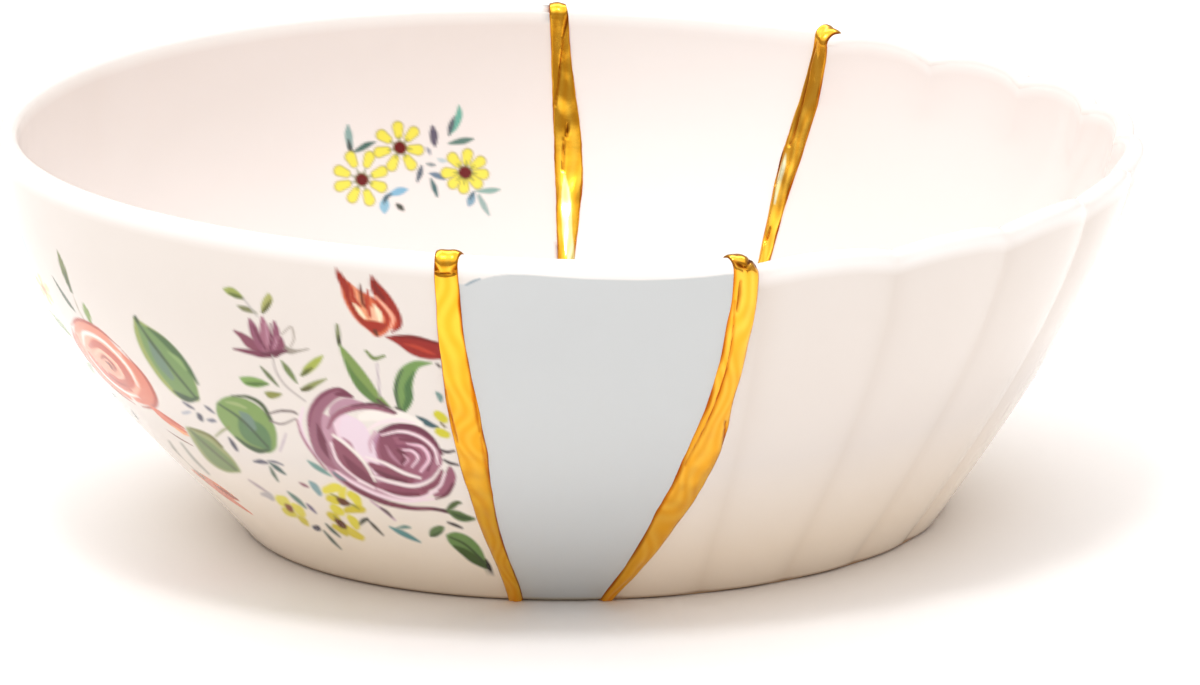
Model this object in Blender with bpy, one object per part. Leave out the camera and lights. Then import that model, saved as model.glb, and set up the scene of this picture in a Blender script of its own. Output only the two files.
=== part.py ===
"""Kintsugi bowl: three unlike ceramic shards joined by two raised gold seams.

Metres, +Z up, the origin on the table under the middle of the bowl's box. The floral shard is on the left
(-X), the plain shard in the middle and the fluted shard on the right (+X). The bowl's front is -Y.
Azimuths turn about the bowl's own axis, and azimuth 0 is the middle of the fluted side.
"""

import math

import bmesh
import bpy
import numpy as np

# Whole bowl. A size that differs between the sides eases from the smooth side to the fluted side.
RIM_RADIUS = 0.095
FLUTED_RIM_RADIUS = 0.0908
RIM_HEIGHT = 0.0671
FLUTED_RIM_HEIGHT = 0.0605
WALL = 0.0034
FLOOR_HEIGHT = 0.0044
INSIDE_BLEND = 0.014

# How full the wall swells between the foot and the rim: 1 is a straight cone
SWELL = 1.88
FLUTED_SWELL = 1.32
SHOULDER = 1.28
SHOULDER_START = 0.42

# Foot
FOOT_RADIUS = 0.057
FOOT_OVAL = 0.0015
FOOT_RING_WIDTH = 0.004
FOOT_RECESS = 0.0012

# Flutes of the right shard
LOBE_COUNT = 24
LOBE_TURN = math.radians(2.2)
LOBE_FLATNESS = 2.2
LOBE_DEPTH_RIM = 0.0016
LOBE_DEPTH_FOOT = 0.0006
LOBE_FADE_INSIDE = 0.012
SCALLOP = 0.0016

# Gold seams
SEAM_RISE = 0.0007
SEAM_EDGE_RISE = 0.00015
SEAM_LIFT_OFF_TABLE = 0.0001
CLEARANCE = 0.00035

# A crack's route in plan: distance to the back and to the right, both as shares of the rim radius,
# and the gold's width there in metres
LEFT_CRACK = (
    (-1.10, -0.250, 0.0034),
    (-0.96, -0.226, 0.0037),
    (-0.88, -0.204, 0.0051),
    (-0.80, -0.189, 0.0043),
    (-0.69, -0.167, 0.0029),
    (-0.58, -0.134, 0.0024),
    (-0.45, -0.124, 0.0025),
    (-0.25, -0.136, 0.0027),
    (0.05, -0.128, 0.0030),
    (0.40, -0.072, 0.0026),
    (0.75, -0.040, 0.0029),
    (0.87, -0.032, 0.0047),
    (0.95, -0.044, 0.0031),
    (1.10, -0.056, 0.0030),
)
RIGHT_CRACK = (
    (-1.10, 0.360, 0.0050),
    (-0.93, 0.257, 0.0053),
    (-0.85, 0.206, 0.0050),
    (-0.796, 0.177, 0.0065),
    (-0.70, 0.110, 0.0048),
    (-0.64, 0.064, 0.0030),
    (-0.59, 0.022, 0.0022),
    (-0.53, -0.017, 0.0024),
    (-0.45, -0.044, 0.0025),
    (-0.36, -0.048, 0.0026),
    (-0.26, -0.025, 0.0026),
    (-0.12, 0.035, 0.0027),
    (0.10, 0.122, 0.0028),
    (0.40, 0.230, 0.0025),
    (0.67, 0.315, 0.0024),
    (0.73, 0.348, 0.0035),
    (0.775, 0.383, 0.0052),
    (0.83, 0.446, 0.0042),
    (1.10, 0.790, 0.0040),
)

# Fineness of the meshes
SMOOTH_COLUMNS = 80
COLUMNS_PER_LOBE = 6
WALL_ROWS = 11
LIP_ROWS = 5
BLEND_ROWS = 3
SEAM_FLOOR_ROWS = 15
CRACK_STEPS = 72
STEPS_TO_SETTLE = 40
ACROSS_SEAM = np.array([-1.0, -0.62, 0.0, 0.62, 1.0])

# Rows of a wall from the foot up over the lip and down the inside to the floor
WALL_SHARES = np.linspace(0.0, 1.0, WALL_ROWS) ** 1.15
LIP_ANGLES = np.linspace(0.0, math.pi, LIP_ROWS + 2)[1:-1]
BLEND_SHARES = np.arange(1, BLEND_ROWS + 1) / BLEND_ROWS
SECTION_ROWS = 2 * WALL_ROWS + LIP_ROWS + BLEND_ROWS


def clear_scene():
    for item in list(bpy.data.objects):
        bpy.data.objects.remove(item, do_unlink=True)


def fluted_share(azimuth):
    """0 in the middle of the smooth side, 1 in the middle of the fluted side, eased at both ends."""
    share = (1 + np.cos(azimuth)) / 2
    return share**2 * (3 - 2 * share)


def toward_fluted(smooth, fluted, azimuth):
    return smooth + (fluted - smooth) * fluted_share(azimuth)


def foot_radius(azimuth):
    """The foot is a little oval: narrower from front to back than from side to side."""
    return FOOT_RADIUS - FOOT_OVAL * np.sin(azimuth) ** 2


def lobe_dip(azimuth):
    """0 on the crest of a flute and -1 in the valley beside it: minus the distance to the power flatness."""
    across = (azimuth - LOBE_TURN) * LOBE_COUNT / (2 * math.pi)
    return -np.abs(2 * (across - np.floor(across)) - 1) ** LOBE_FLATNESS


def outside(azimuth, height_share, fluting, rise):
    """Radius and height of the outer wall, from the foot's radius out to the rim's.

    The share s of the way up gives 1 - (1 - s)^swell of the way out, and the smooth side adds a shoulder,
    s (1 - s)^2 (s - start). fluting is 0 on a smooth shard and 1 on the fluted one. rise lifts the point
    off the wall. Below the foot the wall goes on straight, which the inner wall's offset needs.
    """
    foot = foot_radius(azimuth)
    out = toward_fluted(RIM_RADIUS, FLUTED_RIM_RADIUS, azimuth) - foot
    swell = toward_fluted(SWELL, FLUTED_SWELL, azimuth)
    shoulder = toward_fluted(SHOULDER, 0, azimuth)
    dip = lobe_dip(azimuth) * fluting
    top = toward_fluted(RIM_HEIGHT, FLUTED_RIM_HEIGHT, azimuth) + SCALLOP * dip
    up = np.clip(height_share, 0, 1)
    left = 1 - up
    past = up - SHOULDER_START
    bulge = 1 - left**swell + shoulder * up * left**2 * past
    steepness = swell * left ** (swell - 1) + shoulder * (left**2 * (past + up) - 2 * up * left * past)
    bulge = np.where(height_share < 0, steepness * height_share, bulge)
    lean = steepness * out / top
    sideways = 1 / np.sqrt(1 + lean**2)
    depth = LOBE_DEPTH_FOOT + (LOBE_DEPTH_RIM - LOBE_DEPTH_FOOT) * up
    radius = foot + out * bulge + depth * dip + rise * sideways
    return radius, top * height_share - rise * sideways * lean


def inside(azimuth, height_share, fluting, rise):
    """The inner wall: the smooth outer wall offset inwards by the wall's thickness, eased into the floor."""
    radius, height = outside(azimuth, height_share, 0, -WALL - rise)
    dip = lobe_dip(azimuth) * fluting
    top = toward_fluted(RIM_HEIGHT, FLUTED_RIM_HEIGHT, azimuth)
    near_rim = np.clip(1 - (top - height) / LOBE_FADE_INSIDE, 0, 1)
    radius = radius + LOBE_DEPTH_RIM * dip * near_rim
    height = height + SCALLOP * dip * near_rim**2
    above = height - (FLOOR_HEIGHT + rise)
    eased = np.clip(above + INSIDE_BLEND, 0, None) ** 2 / (4 * INSIDE_BLEND)
    return radius, FLOOR_HEIGHT + rise + np.where(above > INSIDE_BLEND, above, eased)


def lowest_inside_share(azimuth):
    """The height share, below 0, at which the inner wall has just become the flat floor."""
    top = toward_fluted(RIM_HEIGHT, FLUTED_RIM_HEIGHT, azimuth)
    _, height = outside(azimuth, np.zeros_like(azimuth), 0, -WALL)
    return (FLOOR_HEIGHT - INSIDE_BLEND - height) / top


def wall_section(azimuth, fluting, rise):
    """Radius and height of every row: up the outside, over the round lip and down the inside to the floor.

    The last axis of azimuth holds one value for each row.
    """
    lip_share = 1 - WALL / 2 / RIM_HEIGHT
    out_az = azimuth[..., :WALL_ROWS]
    lip_az = azimuth[..., WALL_ROWS : WALL_ROWS + LIP_ROWS]
    in_az = azimuth[..., WALL_ROWS + LIP_ROWS :]
    out_r, out_z = outside(out_az, WALL_SHARES * lip_share, fluting, rise)
    lip_r, lip_z = outside(lip_az, np.full(LIP_ROWS, lip_share), fluting, -WALL / 2)
    lip_r = lip_r + (WALL / 2 + rise) * np.cos(LIP_ANGLES)
    lip_z = lip_z + (WALL / 2 + rise) * np.sin(LIP_ANGLES)
    shares = np.broadcast_to(WALL_SHARES[::-1] * lip_share, in_az[..., :WALL_ROWS].shape)
    below = lowest_inside_share(in_az[..., WALL_ROWS:]) * BLEND_SHARES
    in_r, in_z = inside(in_az, np.concatenate([shares, below], -1), fluting, rise)
    return np.concatenate([out_r, lip_r, in_r], -1), np.concatenate([out_z, lip_z, in_z], -1)


def crack_edge(crack, side, y):
    """How far right one edge of the crack's gold runs at y: its left edge at side -1, its right at side 1.

    A cubic through the route's points, with each point's slope taken from its two neighbours.
    """
    route = np.array(crack)
    at = route[:, 0] * RIM_RADIUS
    right = route[:, 1] * RIM_RADIUS + side * route[:, 2] / 2
    slope = np.gradient(right, at)
    y = np.clip(y, at[0], at[-1])
    i = np.clip(np.searchsorted(at, y) - 1, 0, len(at) - 2)
    step = at[i + 1] - at[i]
    t = (y - at[i]) / step
    start = right[i] * (1 + 2 * t) * (1 - t) ** 2 + slope[i] * step * t * (1 - t) ** 2
    return start + right[i + 1] * t**2 * (3 - 2 * t) + slope[i + 1] * step * t**2 * (t - 1)


def across_crack(crack, across, y):
    """How far right a point lies that is a share of the way across the gold, from -1 to 1."""
    left = crack_edge(crack, -1, y)
    return left + (crack_edge(crack, 1, y) - left) * (1 + across) / 2


def material(name, colour, roughness, metallic):
    made = bpy.data.materials.new(name)
    made.use_nodes = True
    shader = made.node_tree.nodes["Principled BSDF"]
    shader.inputs["Base Color"].default_value = (*colour, 1)
    shader.inputs["Roughness"].default_value = roughness
    shader.inputs["Metallic"].default_value = metallic
    made.diffuse_color = (*colour, 1)
    return made


def new_object(name, bm, look=None):
    mesh = bpy.data.meshes.new(name)
    bm.to_mesh(mesh)
    bm.free()
    mesh.shade_smooth()
    mesh.set_sharp_from_angle(angle=math.radians(40))
    item = bpy.data.objects.new(name, mesh)
    bpy.context.scene.collection.objects.link(item)
    if look is not None:
        mesh.materials.append(look)
    return item


def add_grid(bm, points, closed):
    """A band of four-sided faces over points[row, column]; closed joins the last column to the first."""
    grid = [[bm.verts.new(p) for p in row] for row in points]
    columns = len(grid[0])
    for low, high in zip(grid, grid[1:]):
        for i in range(columns if closed else columns - 1):
            j = (i + 1) % columns
            bm.faces.new((low[i], low[j], high[j], high[i]))
    return grid


def bowl_blank(name, columns, fluting, look):
    """The whole bowl as if it had never broken, of which a shard is one part."""
    azimuth = LOBE_TURN + np.arange(columns) * 2 * math.pi / columns
    radius, height = wall_section(np.repeat(azimuth[:, None], SECTION_ROWS, 1), fluting, 0)
    ring = foot_radius(azimuth) - FOOT_RING_WIDTH
    under = np.tile([FOOT_RECESS, 0.0], (columns, 1))
    radius = np.hstack([ring[:, None], ring[:, None], radius]).T
    height = np.hstack([under, height]).T
    points = np.stack([radius * np.cos(azimuth), radius * np.sin(azimuth), height], -1)
    bm = bmesh.new()
    grid = add_grid(bm, points, closed=True)
    bm.faces.new(grid[0][::-1])
    bm.faces.new(grid[-1])
    return new_object(name, bm, look)


def plan_cutter(name, left_side, right_side):
    """An upright block whose left and right sides follow two lines in plan, given by their x at each y."""
    reach = 1.08 * RIM_RADIUS
    y = np.linspace(-reach, reach, CRACK_STEPS)
    low = -0.2 * RIM_HEIGHT
    high = 1.3 * RIM_HEIGHT
    corners = ((left_side(y), low), (right_side(y), low), (right_side(y), high), (left_side(y), high))
    bm = bmesh.new()
    points = np.stack([np.stack([x, y, np.full_like(y, z)], -1) for x, z in corners], 1)
    grid = add_grid(bm, points, closed=True)
    bm.faces.new(grid[0][::-1])
    bm.faces.new(grid[-1])
    bmesh.ops.recalc_face_normals(bm, faces=bm.faces)
    cutter = new_object(name, bm)
    cutter.hide_render = True
    cutter.display_type = "WIRE"
    return cutter


def shard(name, columns, fluting, look, cutter):
    """A bowl blank with all but the ground between its cracks taken away."""
    blank = bowl_blank(name, columns, fluting, look)
    cut = blank.modifiers.new("broken edge", "BOOLEAN")
    cut.operation = "INTERSECT"
    cut.solver = "EXACT"
    cut.object = cutter
    return blank


def seam_rise(across):
    """How far the gold stands proud: a round crown that comes down to a low step at each edge."""
    return SEAM_EDGE_RISE + (SEAM_RISE - SEAM_EDGE_RISE) * np.sqrt(1 - across**2)


def seam_wall(crack, end, fluting):
    """Points [row, across] of a seam's wall rows at the front (end -1) or the back (end 1).

    A row's azimuth gives its radius, and the radius gives the point of the crack that lies that far
    from the bowl's axis, whose azimuth is the better one for the next step.
    """
    points = []
    for across in ACROSS_SEAM:
        rise = seam_rise(across)
        y = np.full(SECTION_ROWS, end * FOOT_RADIUS)
        x = across_crack(crack, across, y)
        for _ in range(STEPS_TO_SETTLE):
            radius, height = wall_section(np.arctan2(y, x), fluting * (1 + across) / 2, rise)
            y = (y + end * np.sqrt(radius**2 - x**2)) / 2
            x = across_crack(crack, across, y)
        points.append(np.stack([x, y, np.maximum(height, SEAM_LIFT_OFF_TABLE)], -1))
    return np.stack(points, 1)


def foot_ring_inside(crack, end):
    """The y, for each point across the gold, where the seam meets the inner edge of the foot ring."""
    y = np.full(len(ACROSS_SEAM), end * FOOT_RADIUS)
    for _ in range(STEPS_TO_SETTLE):
        x = across_crack(crack, ACROSS_SEAM, y)
        radius = foot_radius(np.arctan2(y, x)) - FOOT_RING_WIDTH - seam_rise(ACROSS_SEAM)
        y = (y + end * np.sqrt(radius**2 - x**2)) / 2
    return y


def flat_rows(crack, start, stop, shares, height):
    """Rows [share, across] of a seam over flat ground, between its y values start and stop."""
    rows = []
    for share in shares:
        y = start + (stop - start) * share
        rows.append(np.stack([across_crack(crack, ACROSS_SEAM, y), y, height + 0 * y], -1))
    return rows


def gold_seam(name, crack, fluting, look):
    """One seam: paired rows outside and inside from the front lip to the back lip, closed over both lips."""
    rise = seam_rise(ACROSS_SEAM)
    front = seam_wall(crack, -1, fluting)
    back = seam_wall(crack, 1, fluting)
    lips_end = WALL_ROWS + LIP_ROWS

    start = foot_ring_inside(crack, -1)
    stop = foot_ring_inside(crack, 1)
    outer = list(front[:WALL_ROWS][::-1])
    outer += flat_rows(crack, start, stop, [0], SEAM_LIFT_OFF_TABLE)
    outer += flat_rows(crack, start, stop, np.linspace(0, 1, SEAM_FLOOR_ROWS), FOOT_RECESS - rise)
    outer += flat_rows(crack, start, stop, [1], SEAM_LIFT_OFF_TABLE)
    outer += list(back[:WALL_ROWS])

    start = front[-1, :, 1]
    stop = back[-1, :, 1]
    shares = np.linspace(0, 1, SEAM_FLOOR_ROWS + 4 - 2 * BLEND_ROWS)[1:-1]
    inner = list(front[lips_end:])
    inner += flat_rows(crack, start, stop, shares, FLOOR_HEIGHT + rise)
    inner += list(back[lips_end:][::-1])

    bm = bmesh.new()
    out_grid = add_grid(bm, outer, closed=False)
    in_grid = add_grid(bm, inner, closed=False)
    for side in (0, -1):
        for a, b, c, d in zip(out_grid, out_grid[1:], in_grid[1:], in_grid):
            bm.faces.new((a[side], b[side], c[side], d[side]))
    join_lip(bm, out_grid[0], in_grid[0], front[WALL_ROWS:lips_end])
    join_lip(bm, out_grid[-1], in_grid[-1], back[WALL_ROWS:lips_end])
    bmesh.ops.recalc_face_normals(bm, faces=bm.faces)
    return new_object(name, bm, look)


def join_lip(bm, out_row, in_row, lip_points):
    """The gold over one lip, as a band from the outer row to the inner row, and its two ends."""
    rows = [out_row] + [[bm.verts.new(p) for p in row] for row in lip_points] + [in_row]
    for low, high in zip(rows, rows[1:]):
        for i in range(len(low) - 1):
            bm.faces.new((low[i], low[i + 1], high[i + 1], high[i]))
    for side in (0, -1):
        bm.faces.new([row[side] for row in rows])


def left_of_all(y):
    return np.full_like(y, -1.2 * RIM_RADIUS)


def right_of_all(y):
    return np.full_like(y, 1.2 * RIM_RADIUS)


def main():
    clear_scene()
    white = material("white_glaze", (0.90, 0.84, 0.79), 0.18, 0.0)
    blue_grey = material("blue_grey_glaze", (0.62, 0.66, 0.67), 0.2, 0.0)
    fluted_white = material("fluted_white_glaze", (0.88, 0.82, 0.76), 0.2, 0.0)
    left_gold = material("left_gold", (0.95, 0.60, 0.12), 0.15, 1.0)
    right_gold = material("right_gold", (0.94, 0.58, 0.11), 0.15, 1.0)

    grounds = [
        plan_cutter("floral_ground", left_of_all, lambda y: crack_edge(LEFT_CRACK, -1, y) - CLEARANCE),
        plan_cutter(
            "plain_ground",
            lambda y: crack_edge(LEFT_CRACK, 1, y) + CLEARANCE,
            lambda y: crack_edge(RIGHT_CRACK, -1, y) - CLEARANCE,
        ),
        plan_cutter("fluted_ground", lambda y: crack_edge(RIGHT_CRACK, 1, y) + CLEARANCE, right_of_all),
    ]
    pieces = [
        shard("floral_shard", SMOOTH_COLUMNS, 0, white, grounds[0]),
        shard("plain_shard", SMOOTH_COLUMNS, 0, blue_grey, grounds[1]),
        shard("fluted_shard", COLUMNS_PER_LOBE * LOBE_COUNT, 1, fluted_white, grounds[2]),
        gold_seam("left_gold_seam", LEFT_CRACK, 0, left_gold),
        gold_seam("right_gold_seam", RIGHT_CRACK, 1, right_gold),
    ]

    # The fluted side is the narrower one, so the bowl's axis stands a little right of its box's middle
    bowl = bpy.data.objects.new("kintsugi_bowl", None)
    bpy.context.scene.collection.objects.link(bowl)
    bowl.location.x = (RIM_RADIUS - FLUTED_RIM_RADIUS) / 2
    for item in pieces + grounds:
        item.parent = bowl


main()
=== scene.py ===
"""Kintsugi bowl, dressed: three glazed shards of different ware and the two gold seams that join them.

Metres, +Z up, the table at 0. The viewer of the photograph stands at -Y. Azimuths turn about the bowl's own
axis: 0 is the middle of the fluted side (+X), 180 of the floral side and 270 the front.
Every piece's mesh carries a point attribute called paint, which its material multiplies into its colour; beside the
enamel and real tones it holds painted highlights, painted shade and painted light.
"""

import math

import bmesh
import bpy
import numpy as np
from mathutils import Matrix


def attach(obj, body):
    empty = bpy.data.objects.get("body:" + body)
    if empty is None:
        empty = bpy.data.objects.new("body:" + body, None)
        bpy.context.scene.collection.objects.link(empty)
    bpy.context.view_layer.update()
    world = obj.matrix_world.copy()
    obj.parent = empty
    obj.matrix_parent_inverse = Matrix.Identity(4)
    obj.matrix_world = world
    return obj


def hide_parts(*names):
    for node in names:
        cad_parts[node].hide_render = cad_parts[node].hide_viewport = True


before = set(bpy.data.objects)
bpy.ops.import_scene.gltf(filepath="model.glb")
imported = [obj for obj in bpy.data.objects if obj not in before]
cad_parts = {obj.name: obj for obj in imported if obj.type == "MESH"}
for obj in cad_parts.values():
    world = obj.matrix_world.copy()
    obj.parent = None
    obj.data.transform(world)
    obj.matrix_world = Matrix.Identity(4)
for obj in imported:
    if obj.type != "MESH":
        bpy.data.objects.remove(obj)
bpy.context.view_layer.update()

# Floral shard: the left half of a thrown white stoneware bowl under a warm clear glaze, 3.4 mm thick, with
# flowers painted over the glaze in enamel. Its right-hand edge is broken, and the left gold seam covers it.

RIM_RADIUS = 0.095
FLUTED_RIM_RADIUS = 0.0908
RIM_HEIGHT = 0.0671
FLUTED_RIM_HEIGHT = 0.0605
WALL = 0.0034
FLOOR_HEIGHT = 0.0044
INSIDE_BLEND = 0.014
SWELL = 1.88
FLUTED_SWELL = 1.32
SHOULDER = 1.28
SHOULDER_START = 0.42
FOOT_RADIUS = 0.057
FOOT_OVAL = 0.0015
FOOT_RECESS = 0.0012
RING_ROWS = (-1, -0.9, -0.8, -0.2, -0.1, 0)
RING_INSETS = (-0.004, -0.004, -0.0036, -0.0008, -0.0002, 0.0001)
RING_HEIGHTS = (FOOT_RECESS, 0.0004, 0.0, 0.0, 0.0001, 0.0003)
LIP_SHARE = 1 - WALL / 2 / RIM_HEIGHT
AXIS = np.array([(RIM_RADIUS - FLUTED_RIM_RADIUS) / 2, 0, 0])

LOBE_COUNT = 24
LOBE_TURN = math.radians(2.2)
LOBE_FLATNESS = 2.2
LOBE_DEPTH_RIM = 0.0016
LOBE_DEPTH_FOOT = 0.0006
LOBE_FADE_INSIDE = 0.012
SCALLOP = 0.0016

# Each crack's route in plan: distance to the back and to the right, both as shares of the rim radius, and
# the gold's width there in metres
CRACKS = {
    "left": (
        (-1.10, -0.250, 0.0034),
        (-0.96, -0.226, 0.0037),
        (-0.88, -0.204, 0.0051),
        (-0.80, -0.189, 0.0043),
        (-0.69, -0.167, 0.0029),
        (-0.58, -0.134, 0.0024),
        (-0.45, -0.124, 0.0025),
        (-0.25, -0.136, 0.0027),
        (0.05, -0.128, 0.0030),
        (0.40, -0.072, 0.0026),
        (0.75, -0.040, 0.0029),
        (0.87, -0.032, 0.0047),
        (0.95, -0.044, 0.0031),
        (1.10, -0.056, 0.0030),
    ),
    "right": (
        (-1.10, 0.360, 0.0050),
        (-0.93, 0.257, 0.0053),
        (-0.85, 0.206, 0.0050),
        (-0.796, 0.177, 0.0065),
        (-0.70, 0.110, 0.0048),
        (-0.64, 0.064, 0.0030),
        (-0.59, 0.022, 0.0022),
        (-0.53, -0.017, 0.0024),
        (-0.45, -0.044, 0.0025),
        (-0.36, -0.048, 0.0026),
        (-0.26, -0.025, 0.0026),
        (-0.12, 0.035, 0.0027),
        (0.10, 0.122, 0.0028),
        (0.40, 0.230, 0.0025),
        (0.67, 0.315, 0.0024),
        (0.73, 0.348, 0.0035),
        (0.775, 0.383, 0.0052),
        (0.83, 0.446, 0.0042),
        (1.10, 0.790, 0.0040),
    ),
}

# A shard's broken edge runs this share of the gold's half width from the crack's middle, under the gold
BROKEN_EDGE = 0.55


def toward_fluted(smooth, fluted, azimuth):
    """Eases from the smooth side's value to the fluted side's: s squared times (3 - 2 s), s = (1 + cos) / 2."""
    share = (1 + np.cos(azimuth)) / 2
    return smooth + (fluted - smooth) * share**2 * (3 - 2 * share)


def foot_radius(azimuth):
    """The foot is a little oval: its radius less a share of sine squared."""
    return FOOT_RADIUS - FOOT_OVAL * np.sin(azimuth) ** 2


def lobe_dip(azimuth):
    """0 on the crest of a flute and -1 in the valley: minus the distance from the crest to the power flatness."""
    across = (azimuth - LOBE_TURN) * LOBE_COUNT / (2 * math.pi)
    return -(np.abs(2 * (across - np.floor(across)) - 1) ** LOBE_FLATNESS)


def outside(azimuth, share, fluting, rise):
    """Radius and height of the outer wall, a share of the way up and raised off the glaze.

    Out from the foot it goes 1 - (1 - s)^swell of the way, plus shoulder s (1 - s)^2 (s - start).
    """
    foot = foot_radius(azimuth)
    out = toward_fluted(RIM_RADIUS, FLUTED_RIM_RADIUS, azimuth) - foot
    swell = toward_fluted(SWELL, FLUTED_SWELL, azimuth)
    shoulder = toward_fluted(SHOULDER, 0, azimuth)
    dip = lobe_dip(azimuth) * fluting
    top = toward_fluted(RIM_HEIGHT, FLUTED_RIM_HEIGHT, azimuth) + SCALLOP * dip
    up = np.clip(share, 0, 1)
    left = 1 - up
    past = up - SHOULDER_START
    bulge = 1 - left**swell + shoulder * up * left**2 * past
    steepness = swell * left ** (swell - 1) + shoulder * (left**2 * (past + up) - 2 * up * left * past)
    bulge = np.where(share < 0, steepness * share, bulge)
    lean = steepness * out / top
    sideways = 1 / np.sqrt(1 + lean**2)
    depth = LOBE_DEPTH_FOOT + (LOBE_DEPTH_RIM - LOBE_DEPTH_FOOT) * up
    return foot + out * bulge + depth * dip + rise * sideways, top * share - rise * sideways * lean


def inside(azimuth, share, fluting, rise):
    """The inner wall: the smooth outer wall moved in by the wall's thickness, eased into the floor."""
    radius, height = outside(azimuth, share, 0, -WALL - rise)
    dip = lobe_dip(azimuth) * fluting
    top = toward_fluted(RIM_HEIGHT, FLUTED_RIM_HEIGHT, azimuth)
    near_rim = np.clip(1 - (top - height) / LOBE_FADE_INSIDE, 0, 1)
    radius = radius + LOBE_DEPTH_RIM * dip * near_rim
    height = height + SCALLOP * dip * near_rim**2
    above = height - (FLOOR_HEIGHT + rise)
    eased = np.clip(above + INSIDE_BLEND, 0, None) ** 2 / (4 * INSIDE_BLEND)
    return radius, FLOOR_HEIGHT + rise + np.where(above > INSIDE_BLEND, above, eased)


def skin(row, azimuth, fluting, rise):
    """Points of the bowl's skin. The row runs -1 to 0 under the foot ring, 0 to 1 up the outside, 1 to 2 round
    the lip, 2 to 3 down the inside and 3 to 4 into the flat floor."""
    row, azimuth, fluting, rise = np.broadcast_arrays(row, azimuth, fluting, rise)
    out_r, out_z = outside(azimuth, np.clip(row, 0.005, 1) * LIP_SHARE, fluting, rise)
    turn = np.clip(row - 1, 0, 1) * math.pi
    mid_r, mid_z = outside(azimuth, LIP_SHARE, fluting, -WALL / 2)
    lip_r = mid_r + (WALL / 2 + rise) * np.cos(turn)
    lip_z = mid_z + (WALL / 2 + rise) * np.sin(turn)
    top = toward_fluted(RIM_HEIGHT, FLUTED_RIM_HEIGHT, azimuth)
    _, bottom = outside(azimuth, np.zeros(azimuth.shape), 0, -WALL)
    lowest = (FLOOR_HEIGHT - INSIDE_BLEND - bottom) / top
    in_r, in_z = inside(azimuth, np.where(row < 3, (3 - row) * LIP_SHARE, (row - 3) * lowest), fluting, rise)
    ring_r = foot_radius(azimuth) + np.interp(row, RING_ROWS, RING_INSETS)
    ring_z = np.interp(row, RING_ROWS, RING_HEIGHTS)
    radius = np.select([row < 0, row <= 1, row <= 2], [ring_r, out_r, lip_r], in_r)
    height = np.select([row < 0, row <= 1, row <= 2], [ring_z, out_z, lip_z], in_z)
    return np.stack([radius * np.cos(azimuth), radius * np.sin(azimuth), height], -1)


def crack_side(crack, across, y):
    """How far right a point lies that is a share of the way across the gold, from -1 to 1, at a given y.

    Cubics through the route's points for the middle and the width, each point's slope from its neighbours.
    """
    route = np.array(CRACKS[crack])
    at = route[:, 0] * RIM_RADIUS
    y = np.clip(y, at[0], at[-1])
    i = np.clip(np.searchsorted(at, y) - 1, 0, len(at) - 2)
    step = at[i + 1] - at[i]
    t = (y - at[i]) / step
    found = 0
    for value, weight in ((route[:, 1] * RIM_RADIUS, 1), (route[:, 2], across / 2)):
        slope = np.gradient(value, at)
        start = value[i] * (1 + 2 * t) * (1 - t) ** 2 + slope[i] * step * t * (1 - t) ** 2
        stop = value[i + 1] * t**2 * (3 - 2 * t) + slope[i + 1] * step * t**2 * (t - 1)
        found = found + weight * (start + stop)
    return found


def on_crack(crack, across, end, row, fluting, rise):
    """Points where a row of the skin meets the crack, at the front (end -1) or the back (end 1).

    The azimuth gives a radius, and the crack's point at that radius gives a better azimuth.
    """
    row, across, fluting, rise = np.broadcast_arrays(row, across, fluting, rise)
    y = np.full(row.shape, end * FOOT_RADIUS)
    for _ in range(40):
        x = crack_side(crack, across, y)
        point = skin(row, np.arctan2(y, x), fluting, rise)
        y = (y + end * np.sqrt(point[..., 0] ** 2 + point[..., 1] ** 2 - x**2)) / 2
    return np.stack([crack_side(crack, across, y), y, point[..., 2]], -1)


def grid_faces(index):
    """Four-sided faces over index[row, column]. Each one splits from its second corner to its fourth, the way
    that most of the painted strokes run."""
    low, high = index[:-1], index[1:]
    return np.stack([low[:, 1:], high[:, 1:], high[:, :-1], low[:, :-1]], -1).reshape(-1, 4)


def zip_faces(one, one_at, other, other_at):
    """Triangles between two chains of points: each step joins the point that the other chain has reached."""
    met = np.clip(np.searchsorted(other_at, one_at[1:]) - 1, 0, len(other) - 1)
    from_one = np.stack([one[:-1], one[1:], other[met], other[met]], -1)
    met = np.clip(np.searchsorted(one_at, other_at[1:], side="right") - 1, 0, len(one) - 1)
    from_other = np.stack([other[1:], other[:-1], one[met], one[met]], -1)
    return np.concatenate([from_one, from_other])


def way_along(points):
    """How far along its own length each point of a chain lies, from 0 to 1."""
    steps = np.linalg.norm(np.diff(points, axis=0), axis=-1)
    return np.concatenate([[0], np.cumsum(steps)]) / steps.sum()


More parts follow.
